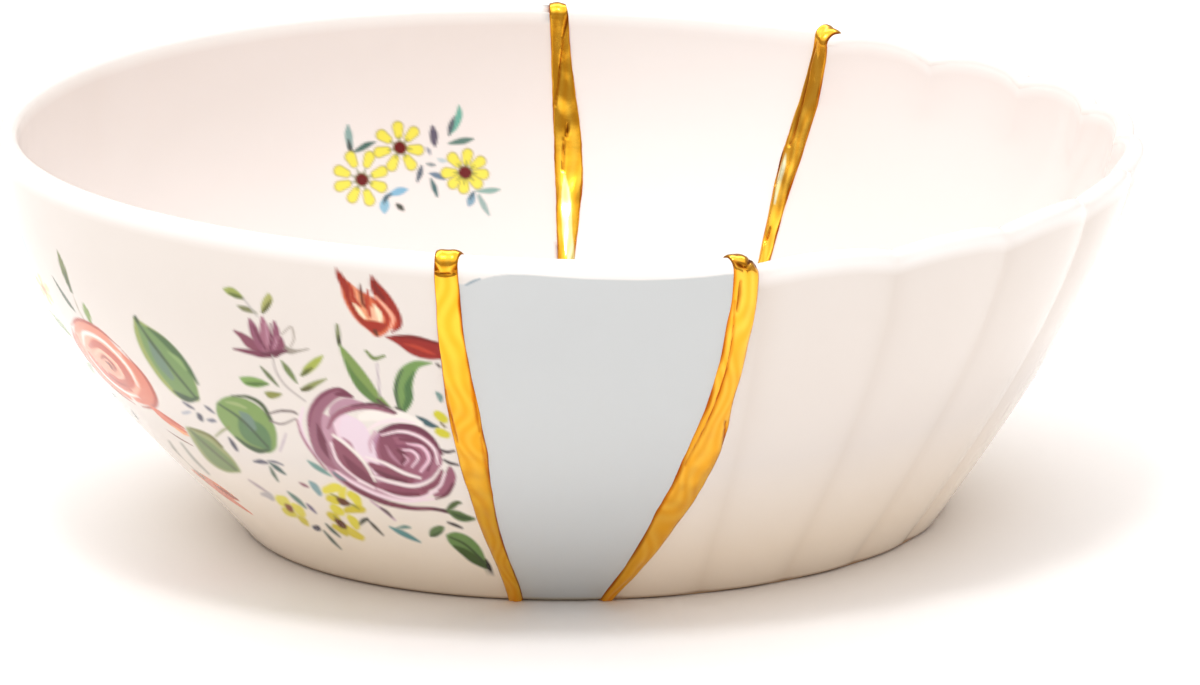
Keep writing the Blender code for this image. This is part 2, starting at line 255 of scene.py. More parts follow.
def new_piece(name, points, faces, caps, values):
    """A closed mesh from points, four-sided faces of which some have folded, and flat caps of many sides."""
    same_low = faces[:, 0] == faces[:, 1]
    same_high = faces[:, 2] == faces[:, 3]
    quads = faces[~same_low & ~same_high]
    threes = np.concatenate([faces[same_low & ~same_high][:, [0, 2, 3]], faces[same_high & ~same_low][:, :3]])
    flat = (threes[:, 0] == threes[:, 1]) | (threes[:, 1] == threes[:, 2]) | (threes[:, 0] == threes[:, 2])
    threes = threes[~flat]
    used, place = np.unique(np.concatenate([quads.ravel(), threes.ravel(), *caps]), return_inverse=True)
    three, many = quads.size, quads.size + threes.size
    polygons = place[:three].reshape(-1, 4).tolist() + place[three:many].reshape(-1, 3).tolist()
    for cap in caps:
        polygons.append(place[many : many + len(cap)].tolist())
        many += len(cap)
    mesh = bpy.data.meshes.new(name)
    mesh.from_pydata(points[used] + AXIS, [], polygons)
    mesh.attributes.new("paint", "FLOAT_COLOR", "POINT").data.foreach_set("color", values[used].ravel())
    bm = bmesh.new()
    bm.from_mesh(mesh)
    bmesh.ops.recalc_face_normals(bm, faces=bm.faces)
    bm.to_mesh(mesh)
    bm.free()
    mesh.shade_smooth()
    mesh.set_sharp_from_angle(angle=math.radians(40))
    made = bpy.data.objects.new(name, mesh)
    bpy.context.scene.collection.objects.link(made)
    return made


def shard(name, sectors, rows_up, rows_down, fluting, paint):
    """A shard as one closed mesh.

    A sector runs round the bowl from one broken edge to the next, each given as (crack, across, end), with
    columns for the outer skin and columns for the inner one, which are zipped together at the lip. Columns
    past a broken edge fold onto it. A zipped wall closes each broken edge, and caps close floor and foot.
    The paint function gives each point its colour, from the points and whether they are the outer skin's.
    """
    points, values, faces, chains, count = [], [], [], {}, 0
    rings = {"floor": [], "under": []}
    for start, stop, columns_up, columns_down in sectors:
        joined = []
        for rows, columns in ((rows_up, columns_up), (rows_down, columns_down)):
            first = azimuth_of(on_crack(*start, rows, fluting, 0))
            last = azimuth_of(on_crack(*stop, rows, fluting, 0))
            last = np.where(last < first, last + 2 * math.pi, last)
            azimuth = np.clip(columns, first[:, None], last[:, None])
            new = skin(rows[:, None], azimuth, fluting, 0)
            low = (columns <= first[:, None]).sum(1) - 1
            high = len(columns) - (columns >= last[:, None]).sum(1)
            fold = np.clip(np.arange(len(columns)), low[:, None], high[:, None])
            index = count + np.arange(fold.size).reshape(fold.shape)
            index = np.take_along_axis(index, fold, 1)
            count += fold.size
            points.append(new.reshape(-1, 3))
            values.append(paint(new, rows is rows_up).reshape(-1, 4))
            faces.append(grid_faces(index))
            joined.append((index, azimuth, new))
        (up, up_az, up_at), (down, down_az, down_at) = joined
        faces.append(zip_faces(up[-1], up_az[-1], down[0], down_az[0]))
        for key, side in ((start, 0), (stop, -1)):
            chains[key] = (up[::-1, side], up_at[::-1, side], down[:, side], down_at[:, side])
        rings["floor"].append(down[-1])
        rings["under"].append(up[0])
    lines = {}
    for crack, across in dict.fromkeys(edge[:2] for sector in sectors for edge in sector[:2]):
        up_front, up_front_at, down_front, down_front_at = chains[crack, across, -1]
        up_back, up_back_at, down_back, down_back_at = chains[crack, across, 1]
        found = []
        for front, back, height in (
            (up_front_at[-1], up_back_at[-1], FOOT_RECESS),
            (down_front_at[-1], down_back_at[-1], FLOOR_HEIGHT),
        ):
            y = np.linspace(front[1], back[1], 122)[1:-1]
            line = np.stack([crack_side(crack, across, y), y, np.full(len(y), height)], -1)
            points.append(line)
            values.append(np.tile([1.0, 1.0, 1.0, 0.0], (len(y), 1)))
            found.append((count + np.arange(len(y)), line))
            count += len(y)
        (under, under_at), (floor, floor_at) = found
        lines[crack, across] = {"floor": floor, "under": under}
        outer = np.concatenate([up_front, under, up_back[::-1]])
        inner = np.concatenate([down_front, floor, down_back[::-1]])
        outer_at = way_along(np.concatenate([up_front_at, under_at, up_back_at[::-1]]))
        inner_at = way_along(np.concatenate([down_front_at, floor_at, down_back_at[::-1]]))
        faces.append(zip_faces(outer, outer_at, inner, inner_at))
    caps = []
    for level in ("floor", "under"):
        loop = []
        for ring, sector in zip(rings[level], sectors):
            crack, across, end = sector[1]
            line = lines[crack, across][level]
            loop += [ring[np.append(True, np.diff(ring) != 0)], line if end < 0 else line[::-1]]
        caps.append(np.concatenate(loop))
    return new_piece(name, np.concatenate(points), np.concatenate(faces), caps, np.concatenate(values))


def azimuth_of(points):
    """Each point's azimuth about the bowl's axis, from 0 to a full turn."""
    return np.arctan2(points[..., 1], points[..., 0]) % (2 * math.pi)


def degrees(*zones):
    """Azimuths from zones of (first degree, last degree, step in degrees)."""
    return np.radians(np.concatenate([np.arange(*zone) for zone in zones]))


def linear(code):
    """A colour as light: each sRGB hex channel to the power 2.4 above the short straight part."""
    parts = np.array([int(code[i : i + 2], 16) / 255 for i in (0, 2, 4)])
    return tuple(np.where(parts <= 0.04045, parts / 12.92, ((parts + 0.055) / 1.055) ** 2.4)) + (1.0,)


def add(tree, kind, inputs=None, **settings):
    """A node with its settings, and its inputs set to values or linked to sockets."""
    made = tree.nodes.new(kind)
    for name, value in settings.items():
        setattr(made, name, value)
    for name, value in (inputs or {}).items():
        if isinstance(value, bpy.types.NodeSocket):
            tree.links.new(value, made.inputs[name])
        else:
            made.inputs[name].default_value = value
    return made


def new_material(name):
    """A material with an empty node tree, and the tree."""
    made = bpy.data.materials.new(name)
    made.use_nodes = True
    made.node_tree.nodes.clear()
    return made, made.node_tree


def glaze(name, body, pooled):
    """Clear fired glaze over a white body: a smooth gloss, a faint drift of tone and the soft orange peel of a
    glaze that has flowed. Returns the material, its tree, the shader and the colour, for more to be laid on it.

    The tone drifts over 45 mm and the surface rolls over 26 mm, as on a dipped bowl. The orange peel is 4 mm
    across, drawn coarser than the real one millimetre so that it shows.
    """
    made, tree = new_material(name)
    place = add(tree, "ShaderNodeTexCoord").outputs["Object"]
    drift = add(tree, "ShaderNodeTexNoise", {"Vector": place, "Scale": 22.0, "Detail": 2.0, "Roughness": 0.5})
    tone = add(
        tree,
        "ShaderNodeMix",
        {"Factor": drift.outputs["Fac"], "A": linear(body), "B": linear(pooled)},
        data_type="RGBA",
    )
    peel = add(tree, "ShaderNodeTexNoise", {"Vector": place, "Scale": 260.0, "Detail": 1.5, "Roughness": 0.45})
    wave = add(tree, "ShaderNodeTexNoise", {"Vector": place, "Scale": 38.0, "Detail": 1.0, "Roughness": 0.4})
    low = add(tree, "ShaderNodeBump", {"Height": wave.outputs["Fac"], "Strength": 0.18, "Distance": 0.0012})
    fine = add(
        tree,
        "ShaderNodeBump",
        {"Height": peel.outputs["Fac"], "Normal": low.outputs["Normal"], "Strength": 0.1, "Distance": 0.00015},
    )
    shader = add(
        tree,
        "ShaderNodeBsdfPrincipled",
        {
            "Roughness": 0.13,
            "IOR": 1.52,
            "Specular IOR Level": 0.24,
            "Coat Weight": 0.1,
            "Coat Roughness": 0.05,
            "Normal": fine.outputs["Normal"],
        },
    )
    add(tree, "ShaderNodeOutputMaterial", {"Surface": shader.outputs["BSDF"]})
    return made, tree, shader, tone.outputs["Result"]


# The glaze's white as the painter sees it, and the power that deepens each enamel against it
FIRED_WHITE = "EEE4DB"
ENAMEL_DEPTH = 1.22
# The painter's drawing of the bouquet, held up square to the viewer: 6.14 units to the millimetre, x to the
# right and y down, with the bowl's front lip running at y 260 to 275 and its foot at y 600
VIEW_TARGET = np.array([0.00165, 0, 0.02764])
VIEW_HEIGHT = math.radians(14.42)
VIEW_ROLL = math.radians(-1.36)
VIEW_DISTANCE = 1.4
VIEW_FOCUS = 8600.0
VIEW_MIDDLE = (600.0, 342.5)
UNITS_PER_METRE = 6140
OFF_DRAWING = -1000


def view_axes():
    """The viewer's right, up and ahead, with the head a little tilted."""
    ahead = np.array([0, math.cos(VIEW_HEIGHT), -math.sin(VIEW_HEIGHT)])
    right = np.array([1.0, 0, 0])
    up = np.cross(right, ahead)
    turned = math.cos(VIEW_ROLL) * right + math.sin(VIEW_ROLL) * up
    return turned, math.cos(VIEW_ROLL) * up - math.sin(VIEW_ROLL) * right, ahead


def on_drawing(points):
    """Where each point of the bowl lies on the drawing: its offset from the viewer, over its distance."""
    right, up, ahead = view_axes()
    away = points - (VIEW_TARGET - ahead * VIEW_DISTANCE)
    depth = away @ ahead
    x = VIEW_MIDDLE[0] + VIEW_FOCUS * (away @ right) / depth
    y = VIEW_MIDDLE[1] - VIEW_FOCUS * (away @ up) / depth
    return np.stack([x, y], -1)


def smooth_through(values, t):
    """Cubics through evenly spaced values, each value's slope from its neighbours, read at t from 0 to 1."""
    values = np.array(values, float).reshape(len(values), -1)
    step = 1 / (len(values) - 1)
    slopes = np.gradient(values, step, axis=0)
    i = np.clip((t / step).astype(int), 0, len(values) - 2)
    u = (t / step - i)[:, None]
    found = values[i] * (1 + 2 * u) * (1 - u) ** 2 + values[i + 1] * u**2 * (3 - 2 * u)
    return found + step * (slopes[i] * u * (1 - u) ** 2 + slopes[i + 1] * u**2 * (u - 1))


def stroke(ink, at, hue, path, thick, strength=1.0, soft=2.4):
    """One stroke of the brush over ink[point, rgba]: a smooth curve through the path's points, with half the
    brush's width running smoothly through thick. The paint is laid on where the distance to the curve, less
    that width, is below 0, and it fades out over soft units. The hue is how the enamel looks once it is fired
    on the warm white, so it is divided by the white's own colour and deepened by the power ENAMEL_DEPTH."""
    t = np.linspace(0, 1, max(9, 8 * (len(path) - 1)))
    line = smooth_through(path, t)
    half = smooth_through(thick, t)[:, 0]
    reach = half.max() + soft
    near = np.flatnonzero(((at > line.min(0) - reach) & (at < line.max(0) + reach)).all(-1))
    if len(near) == 0:
        return
    here = at[near][:, None]
    leg = line[1:] - line[:-1]
    share = np.clip(((here - line[:-1]) * leg).sum(-1) / ((leg**2).sum(-1) + 1e-9), 0, 1)
    gap = np.linalg.norm(here - line[:-1] - share[..., None] * leg, axis=-1)
    gap = (gap - half[:-1] - share * (half[1:] - half[:-1])).min(1)
    cover = np.clip(0.5 - gap / soft, 0, 1) * strength
    fired = np.minimum(np.array(linear(hue)[:3]) / np.array(linear(FIRED_WHITE)[:3]), 1.0) ** ENAMEL_DEPTH
    ink[near, :3] += (fired - ink[near, :3]) * cover[:, None]
    ink[near, 3] = np.maximum(ink[near, 3], cover)


def paint_motif(ink, at, motif, soft=2.4):
    """Lays down a motif's strokes in the order they are listed."""
    for hue, thick, *path in motif:
        stroke(ink, at, hue, path, thick, soft=soft)


# Each motif is a list of strokes: the enamel's colour, half the brush's width along the stroke in the
# drawing's units, and the points that the brush passes

PURPLE_ROSE = (
    ("C39BA7", (10, 17, 20, 17, 10), (322, 424), (334, 446), (352, 466), (380, 482), (420, 488)),
    ("BE93A6", (24, 29, 31, 27), (394, 450), (400, 454), (406, 458), (414, 462)),
    ("E9D2DA", (0.8, 1.8, 2, 1.2), (303, 408), (300, 424), (306, 442), (320, 460)),
    ("E7CED5", (3, 9, 14, 14, 8), (334, 418), (342, 422), (352, 436), (360, 450), (372, 468)),
    ("E6D2D8", (5, 13, 11, 5), (346, 421), (353, 432), (362, 444), (370, 454)),
    ("F3E4E9", (4, 7, 6, 3), (362, 417), (380, 414), (400, 417), (420, 424)),
    ("A26F7F", (1, 5, 7.5, 7.5, 7, 7.5, 7, 3), (352, 397), (338, 393), (324, 400), (315, 414), (315, 430),
     (320, 446), (328, 458), (338, 468)),
    ("884A5E", (0.5, 1.6, 1.8, 1, 0.5), (352, 396), (338, 389), (322, 396), (312, 410), (309, 426)),
    ("804458", (1.2, 3, 1.5), (352, 397), (344, 394), (336, 394)),
    ("804458", (0.6, 3.6, 3.4, 1), (317, 424), (321, 438), (326, 450), (336, 464)),
    ("BD95A2", (1, 4, 4, 2), (330, 418), (334, 408), (346, 402), (362, 404)),
    ("A06A7A", (1.4, 3, 3.4, 2.6, 1.6), (328, 428), (336, 415), (352, 408), (372, 407), (394, 413)),
    ("754654", (0.6, 1.6, 1.6, 1), (352, 406), (372, 404), (386, 408), (396, 413)),
    ("A7727F", (0.8, 1.1, 0.9), (297, 420), (302, 436), (312, 452), (326, 470)),
    ("B58895", (0.8, 1.6, 1), (343, 438), (350, 444), (354, 452)),
    ("985B6C", (3, 7, 9, 9, 7, 2.5), (335, 441), (341, 450), (350, 460), (360, 470), (368, 478), (376, 485)),
    ("85485B", (1, 3.4, 4, 2), (344, 456), (352, 466), (362, 475), (374, 484)),
    ("F6E6EC", (1.1, 1.5, 1.6, 1), (333, 435), (348, 446), (364, 462), (375, 481)),
    ("F1DBE1", (1, 1.5, 1.6, 1.2), (331, 443), (338, 462), (354, 477), (374, 488)),
    ("B08391", (0.6, 1.8, 2, 1), (327, 444), (333, 460), (343, 471), (356, 480)),
    ("F0D6DC", (0.8, 1.5, 1.7, 1.5, 1), (336, 471), (352, 482), (376, 494), (404, 501), (434, 499)),
    ("834658", (0.8, 1.8, 2.4, 2.6, 2.2, 1.8, 1.2), (335, 474), (351, 486), (367, 495), (387, 503),
     (411, 508), (434, 509), (447, 512)),
    ("5A3A42", (0.8, 1.6, 1.6), (434, 509), (446, 511), (456, 515)),
    ("A3697B", (22, 27, 27, 22), (398, 448), (408, 452), (412, 456), (418, 458)),
    ("925668", (7, 10, 8), (386, 440), (390, 452), (398, 462)),
    ("A97484", (4, 6, 4), (428, 446), (436, 460), (434, 476)),
    ("793F53", (1.6, 3, 3, 2.2, 1.4), (380, 432), (395, 426.5), (414, 428), (431, 438), (442, 454)),
    ("884C60", (1.5, 3, 2.4), (384, 436), (400, 434), (418, 441)),
    ("F0DCE4", (1, 2, 2, 1), (368, 430), (380, 423), (398, 420), (414, 423)),
    ("CEAAB5", (1, 1.8, 1.4), (371, 452), (370, 442), (375, 432)),
    ("F1DAE0", (0.8, 1.3, 1.4, 1.4, 1), (382, 435), (401, 431.5), (420, 437), (434, 449), (438, 464)),
    ("834659", (1.4, 2.4, 2.6, 1.4), (400, 439), (420, 443), (431, 455), (428, 470)),
    ("EBC8D2", (0.8, 1.6, 1.8, 1.4), (407, 444), (422, 447), (429, 459), (421, 471)),
    ("8C4E65", (1, 2, 2, 1), (396, 446), (408, 447), (419, 455), (415, 465)),
    ("EDD0D7", (0.8, 1.3, 1.4, 0.8), (403, 450), (412, 451), (418, 458), (412, 467)),
    ("783C4F", (1.4, 2.4, 1.6), (398, 450), (405, 456), (402, 463)),
    ("D2A7B3", (0.6, 1.2, 0.8), (404, 455), (408, 460), (404, 465)),
    ("B68595", (0.8, 1.8, 0.8), (386, 446), (392, 456), (400, 464)),
    ("925466", (2, 5, 6, 4), (370, 464), (382, 471), (396, 477), (410, 480)),
    ("793F52", (0.8, 2, 1.6), (376, 470), (390, 477), (406, 481)),
    ("F4E0E8", (0.8, 1.5, 1.7, 1.2), (366, 457), (384, 463), (404, 473), (420, 478)),
    ("985B6D", (4, 6, 6, 4), (381, 486), (396, 491), (412, 493), (424, 491)),
    ("834659", (1.5, 3, 2), (386, 491), (400, 495), (418, 495)),
    ("925466", (4, 5.5, 3.5), (424, 488), (434, 482), (440, 472)),
    ("F3DFE7", (1, 1.7, 1.8, 1.6, 1), (372, 476), (392, 482), (414, 486), (431, 480), (442, 466)),
    ("A06778", (3, 6.5, 6, 2.5), (436, 494), (445, 488), (450, 478), (450, 469)),
    ("793F52", (0.8, 2, 1.4), (436, 499), (447, 494), (453, 484)),
    ("F0D8DE", (0.8, 1.5, 1.6, 1.2), (378, 489), (398, 497), (420, 498), (437, 491)),
    ("F0D8DE", (0.8, 1.4, 1), (430, 493), (440, 486), (445, 474)),
)
RED_TULIP = (
    ("D5754C", (3, 9, 14, 14, 7), (342, 280), (352, 296), (366, 310), (378, 320), (378, 330)),
    ("D05A35", (2, 6, 8, 6), (373, 284), (381, 298), (390, 311), (393, 323)),
    ("F2BC9C", (1, 4, 6, 7, 3), (352, 294), (360, 304), (368, 312), (376, 318), (378, 326)),
    ("E69F78", (1, 3, 3, 1), (352, 286), (360, 300), (366, 316), (372, 328)),
    ("A2351D", (1, 3.4, 3.6, 2.4, 2, 2.4, 2), (336.5, 270), (340, 277), (346, 288), (349, 300), (356, 314),
     (364, 323), (374, 331)),
    ("B13E21", (0.8, 2, 2.2, 1.2), (349, 283), (352, 291), (354, 299), (360, 306)),
    ("79371D", (0.8, 1.8, 1.8, 1.2), (360, 285), (361, 293), (363, 303), (367, 308)),
    ("BA4526", (1, 2.2, 1.6), (368, 290), (367, 302), (370, 316)),
    ("A2311C", (1, 4, 6, 5, 3.2, 2.8, 2.4, 1), (371.5, 276), (374, 284), (379, 292), (387, 300), (394, 309),
     (399, 318), (399, 326), (392, 332)),
    ("882718", (0.8, 2.4, 1.6), (372, 279), (377, 290), (384, 299)),
    ("F3B79C", (0.8, 1.6, 1.8, 1), (375, 296), (386, 308), (393, 319), (390, 329)),
    ("AE3C24", (0.6, 1.8, 2, 1.6, 0.8), (372, 298), (380, 307), (387, 317), (386, 326), (380, 332)),
    ("F8E2C4", (0.8, 2.6, 1.6), (374, 305), (379, 314), (380, 320)),
    ("F8E2C4", (0.6, 1.8, 1), (354, 304), (360, 312), (365, 318)),
    ("AB381F", (2, 5.5, 5, 2), (366, 322), (373, 326), (378, 327), (384, 325)),
    ("6B3A20", (2, 1.5), (375, 331), (377, 335)),
    ("7C8C4C", (1.2, 1.9, 1.4), (366, 351), (374, 358.5), (384, 356)),
    ("BFB0B4", (0.8, 0.9), (377, 364), (380, 396)),
    ("A12F22", (0.6, 5, 9.5, 9.5, 8), (386, 337), (400, 340), (416, 346), (430, 350), (444, 351)),
    ("C04B32", (0.6, 1.8, 1.8, 0.8), (405, 344), (416, 347), (426, 351), (434, 354)),
    ("84221C", (0.6, 1.8, 1.2), (392, 337), (412, 337), (436, 343)),
    ("5A4A48", (1.2, 1.2), (437, 364), (440, 367)),
)
LONG_LEAVES = (
    ("8A8E64", (1.4, 2.4, 1.8), (337, 325), (338, 334), (339, 343)),
    ("3E3E24", (0.8, 1.8, 1.2), (338.5, 336), (339, 341), (339.5, 345)),
    ("8A9E5C", (0.8, 4, 7, 7.5, 5, 2), (339.5, 345), (346, 356), (355, 371), (364, 384), (375, 396), (390, 409)),
    ("6D884E", (0.6, 2.4, 4, 3, 1.4), (345, 360), (352, 374), (361, 387), (373, 399), (386, 408)),
    ("6A5452", (1.2, 1.8, 2, 1.4), (378, 400), (388, 408), (396, 413), (404, 415)),
    ("829E60", (0.8, 4.5, 8.5, 9.5, 8, 2.5), (431, 363), (416, 365), (406, 375), (403, 389), (404, 401), (401, 414)),
    ("5D7E4E", (0.8, 3.4, 4, 2), (414, 372), (408, 386), (409, 398), (404, 410)),
    ("546450", (0.8, 1.5, 1.5, 1), (402, 370), (396.5, 384), (396.5, 398), (400, 410)),
    ("5A5248", (1.4, 2.4, 1.6), (396, 408), (401, 412), (404, 416)),
    ("7C9790", (1.6, 2.8, 1.6), (437, 393), (440, 397), (441, 401)),
    ("4F6A6E", (0.8, 2.8, 2.6, 1), (417, 416.5), (424, 421), (431, 425), (438, 427)),
    ("CFC63E", (3.6, 4.4, 3.4), (437, 414), (441, 417), (445, 420)),
    ("CFC63E", (3.4, 4.2, 3.4), (438, 431), (442, 433), (447, 435)),
    ("7A6A1C", (1.1, 1), (441, 423), (445, 427)),
    ("4A3A40", (1, 1.6, 1.2), (441, 450), (447, 452), (454, 451)),
    ("4A3A40", (1, 1.5, 1.1), (444, 460), (450, 463), (458, 465)),
)
SEAM_LEAVES = (
    ("5D6E44", (1.2, 3.2, 2.4, 1), (447, 510), (452, 506), (457, 503), (461, 503)),
    ("687E4E", (1.5, 4.4, 4, 1.5), (449, 511), (457, 515), (465, 518), (474, 519)),
    ("495E38", (0.8, 2, 1), (452, 513), (461, 517), (470, 519)),
    ("3E3438", (1, 1.6, 1), (448, 522.5), (455, 525), (462, 528)),
    ("6D8456", (1.6, 4.4, 4.4, 1.6), (431, 535), (434, 532), (439, 530), (443, 528)),
    ("4C623A", (0.8, 1.6, 0.8), (431, 536), (436, 535), (441, 532)),
    ("779458", (2, 7, 9, 8, 4, 1), (448, 536), (455, 539), (464, 544), (473, 551), (482, 560), (489, 568)),
    ("4C642E", (1, 3.6, 4.4, 2.4), (454, 546), (464, 552), (474, 559), (486, 567)),
    ("3E4E29", (0.6, 1, 1), (450, 537), (466, 545), (484, 562)),
    ("2F2A2A", (1, 2.4, 1.4), (486, 560), (489, 567), (491, 571)),
    ("6F9A98", (0.8, 2.6, 2.4, 0.8), (390, 527), (400, 532), (410, 537), (420, 542)),
    ("7C9990", (0.8, 2, 1), (397, 528), (404, 527), (410, 527.5)),
    ("C0A0AE", (0.8, 1.1, 0.8), (371, 501), (383, 510), (395, 520)),
    ("6A5A58", (0.8, 1.4, 0.8), (381, 508), (387, 512), (392, 517)),
    ("4A4E40", (1.2, 2.4, 1.6), (359, 525), (363, 521), (367, 519)),
    ("534F46", (0.8, 1.6, 0.8), (368, 520), (375, 527), (383, 535)),
    ("7FA098", (0.8, 2.4, 2.2, 0.8), (308, 461), (315, 466), (323, 471), (331, 476)),
    ("7A8A90", (0.8, 1.5, 0.8), (333, 472), (339, 477), (345, 480)),
)
YELLOW_FLOWERS = (
    ("E2D455", (4, 5, 4), (326, 490), (333, 488), (338, 488)),
    ("D9C93F", (3.4, 4.4, 3), (329, 498), (335, 500), (338, 502)),
    ("DDCF4A", (3.4, 4.4, 3.4), (350, 494), (356, 499), (359, 505)),
    ("D2C03A", (3.4, 4.2, 3), (347, 510), (356, 509), (363, 510)),
    ("DDCF4A", (3.4, 4.4, 3), (333, 507), (338, 511), (342, 513)),
    ("E0D25A", (2.6, 4, 3), (344, 489), (342, 494), (343, 498)),
    ("D2C03A", (2.6, 4.2, 3), (329, 514), (334, 517), (338, 520)),
    ("DDCF4A", (2.6, 4.2, 3), (349, 517), (354, 522), (357, 527)),
    ("DBC84A", (2.6, 4, 2.8), (346, 527), (353, 533), (362, 538)),
    ("D2C03A", (2.4, 3.6, 2.4), (334, 526), (342, 530), (347, 534)),
    ("9A9434", (0.6, 1, 0.6), (331, 494), (337, 497), (341, 500)),
    ("9A9434", (0.6, 1, 0.6), (347, 503), (353, 505), (359, 509)),
    ("9A9434", (0.6, 1, 0.6), (334, 516), (338, 520), (342, 524)),
    ("6E3A18", (1.6, 3.4, 2), (338, 499), (343, 502), (348, 504)),
    ("6A3418", (1.6, 3.2, 2), (336, 520), (341, 524), (345, 527)),
    ("DDD25C", (3, 5, 3.4), (278, 498), (283, 501), (287, 504)),
    ("D6C84A", (2.4, 4, 2.6), (284, 509), (289, 512), (295, 515)),
    ("DDD05A", (2.4, 4.2, 3), (293, 505), (299, 510), (303, 515)),
    ("D2C24A", (1.8, 3, 1.4), (299, 517), (304, 521), (308, 525)),
    ("8A4A1C", (1.4, 2.8, 1.6), (286, 505), (289.5, 508), (292, 511)),
    ("6F8A80", (0.8, 2, 2, 0.8), (288, 492), (294, 497), (300, 502), (306, 508)),
    ("8FA8A8", (1.4, 3.2, 2.2), (310, 482), (315, 487), (320, 494)),
    ("9A6A76", (0.8, 1.5, 0.8), (300, 483), (304, 485), (308, 487)),
    ("7A6F88", (0.8, 1.6, 0.8), (307, 504), (311, 508), (316, 513)),
    ("4A4A5E", (1.6, 2.8, 1.6), (314, 527), (317, 528), (319.5, 529.5)),
    ("55685E", (0.8, 1.6, 0.8), (326, 524), (332, 530), (340, 537)),
    ("55685E", (0.8, 1.5, 0.6), (324, 531), (332, 540), (341, 549)),
)
PURPLE_FLOWER = (
    ("A79C90", (2.6, 3, 1.4, 0.8), (283, 347), (290, 351), (298, 351), (308, 349)),
    ("B9ADA2", (0.8, 1.1, 0.9), (282, 334), (291, 327), (294, 338), (291, 346)),
    ("925667", (1, 3, 5, 4), (234.5, 331), (242, 336), (250, 343), (260, 349)),
    ("884A5E", (1, 2.4, 3.6, 3), (234, 349), (248, 351.5), (262, 354), (276, 354.5)),
    ("9A6175", (1.4, 4, 4.6, 4), (249.5, 319.5), (253, 328), (258, 340), (265, 350)),
    ("AC7686", (1.6, 4.4, 5.4, 4), (262, 318), (264, 328), (266, 340), (268, 351)),
    ("9A6175", (1.4, 3.6, 4, 3), (274, 322), (276, 332), (275, 343), (272, 352)),
    ("92566A", (1.6, 3.8, 3), (280.5, 338), (281, 346), (277, 353)),
    ("804458", (0.7, 1.4, 1), (253, 326), (259, 338), (266, 350)),
    ("804458", (0.7, 1.3, 1), (270, 324), (271, 337), (270, 350)),
    ("BD8E9C", (0.6, 1.3, 0.8), (265, 324), (267, 334), (268, 344)),
    ("BD8E9C", (0.6, 1.2, 0.8), (276, 337), (276, 343), (274, 348)),
    ("793F52", (1.6, 2.8, 1.6), (262, 354), (274, 354), (286, 351)),
    ("A5AC64", (1, 4, 3.4, 1), (224, 289), (230, 291), (236, 294), (243, 298)),
    ("6F7A44", (0.7, 2, 1), (229, 293), (236, 296), (243, 298.5)),
    ("8A8A62", (0.8, 2.7, 2.4, 0.8), (238, 306), (244, 308.5), (250, 310.5), (256, 313)),
    ("B2B070", (1, 4.6, 4, 1.2), (268.5, 294), (268, 300), (265, 306), (262.5, 312)),
    ("6F6E3E", (0.7, 2.2, 1.6), (271, 300), (267, 307), (263, 312)),
    ("C2BAB4", (0.7, 0.8), (243, 298), (257, 316)),
    ("BDB2AC", (0.8, 1, 1, 0.8), (272.5, 356), (276, 371), (286, 386), (305, 401)),
    ("8CA862", (1, 4.6, 4.6, 1), (240.5, 378), (248, 381), (258, 383), (268, 384)),
    ("5F7A40", (0.7, 1.8, 0.8), (246, 383), (256, 384), (267, 384)),
    ("737E54", (0.8, 2, 0.8), (261, 367), (269, 376), (278, 386)),
    ("7F8C5C", (0.8, 2.8, 2.4, 0.8), (281.5, 361), (287, 369), (292, 376), (297, 383)),
    ("AEB45A", (1, 4, 4.4, 1.2), (322.5, 356), (316, 362), (308, 369), (302, 375)),
    ("6A6E38", (0.8, 2.4, 1.4), (312, 368), (306, 372), (302, 375)),
    ("969A62", (0.8, 2.6, 3.4, 1.2), (326, 379), (317, 383), (309, 387), (302, 389)),
    ("6A6640", (0.8, 2.2, 1.4), (312, 387), (307, 389), (302, 390)),
    ("969654", (1.4, 3.6, 2.6, 1), (266, 393), (271, 395), (277, 395), (281, 394)),
)
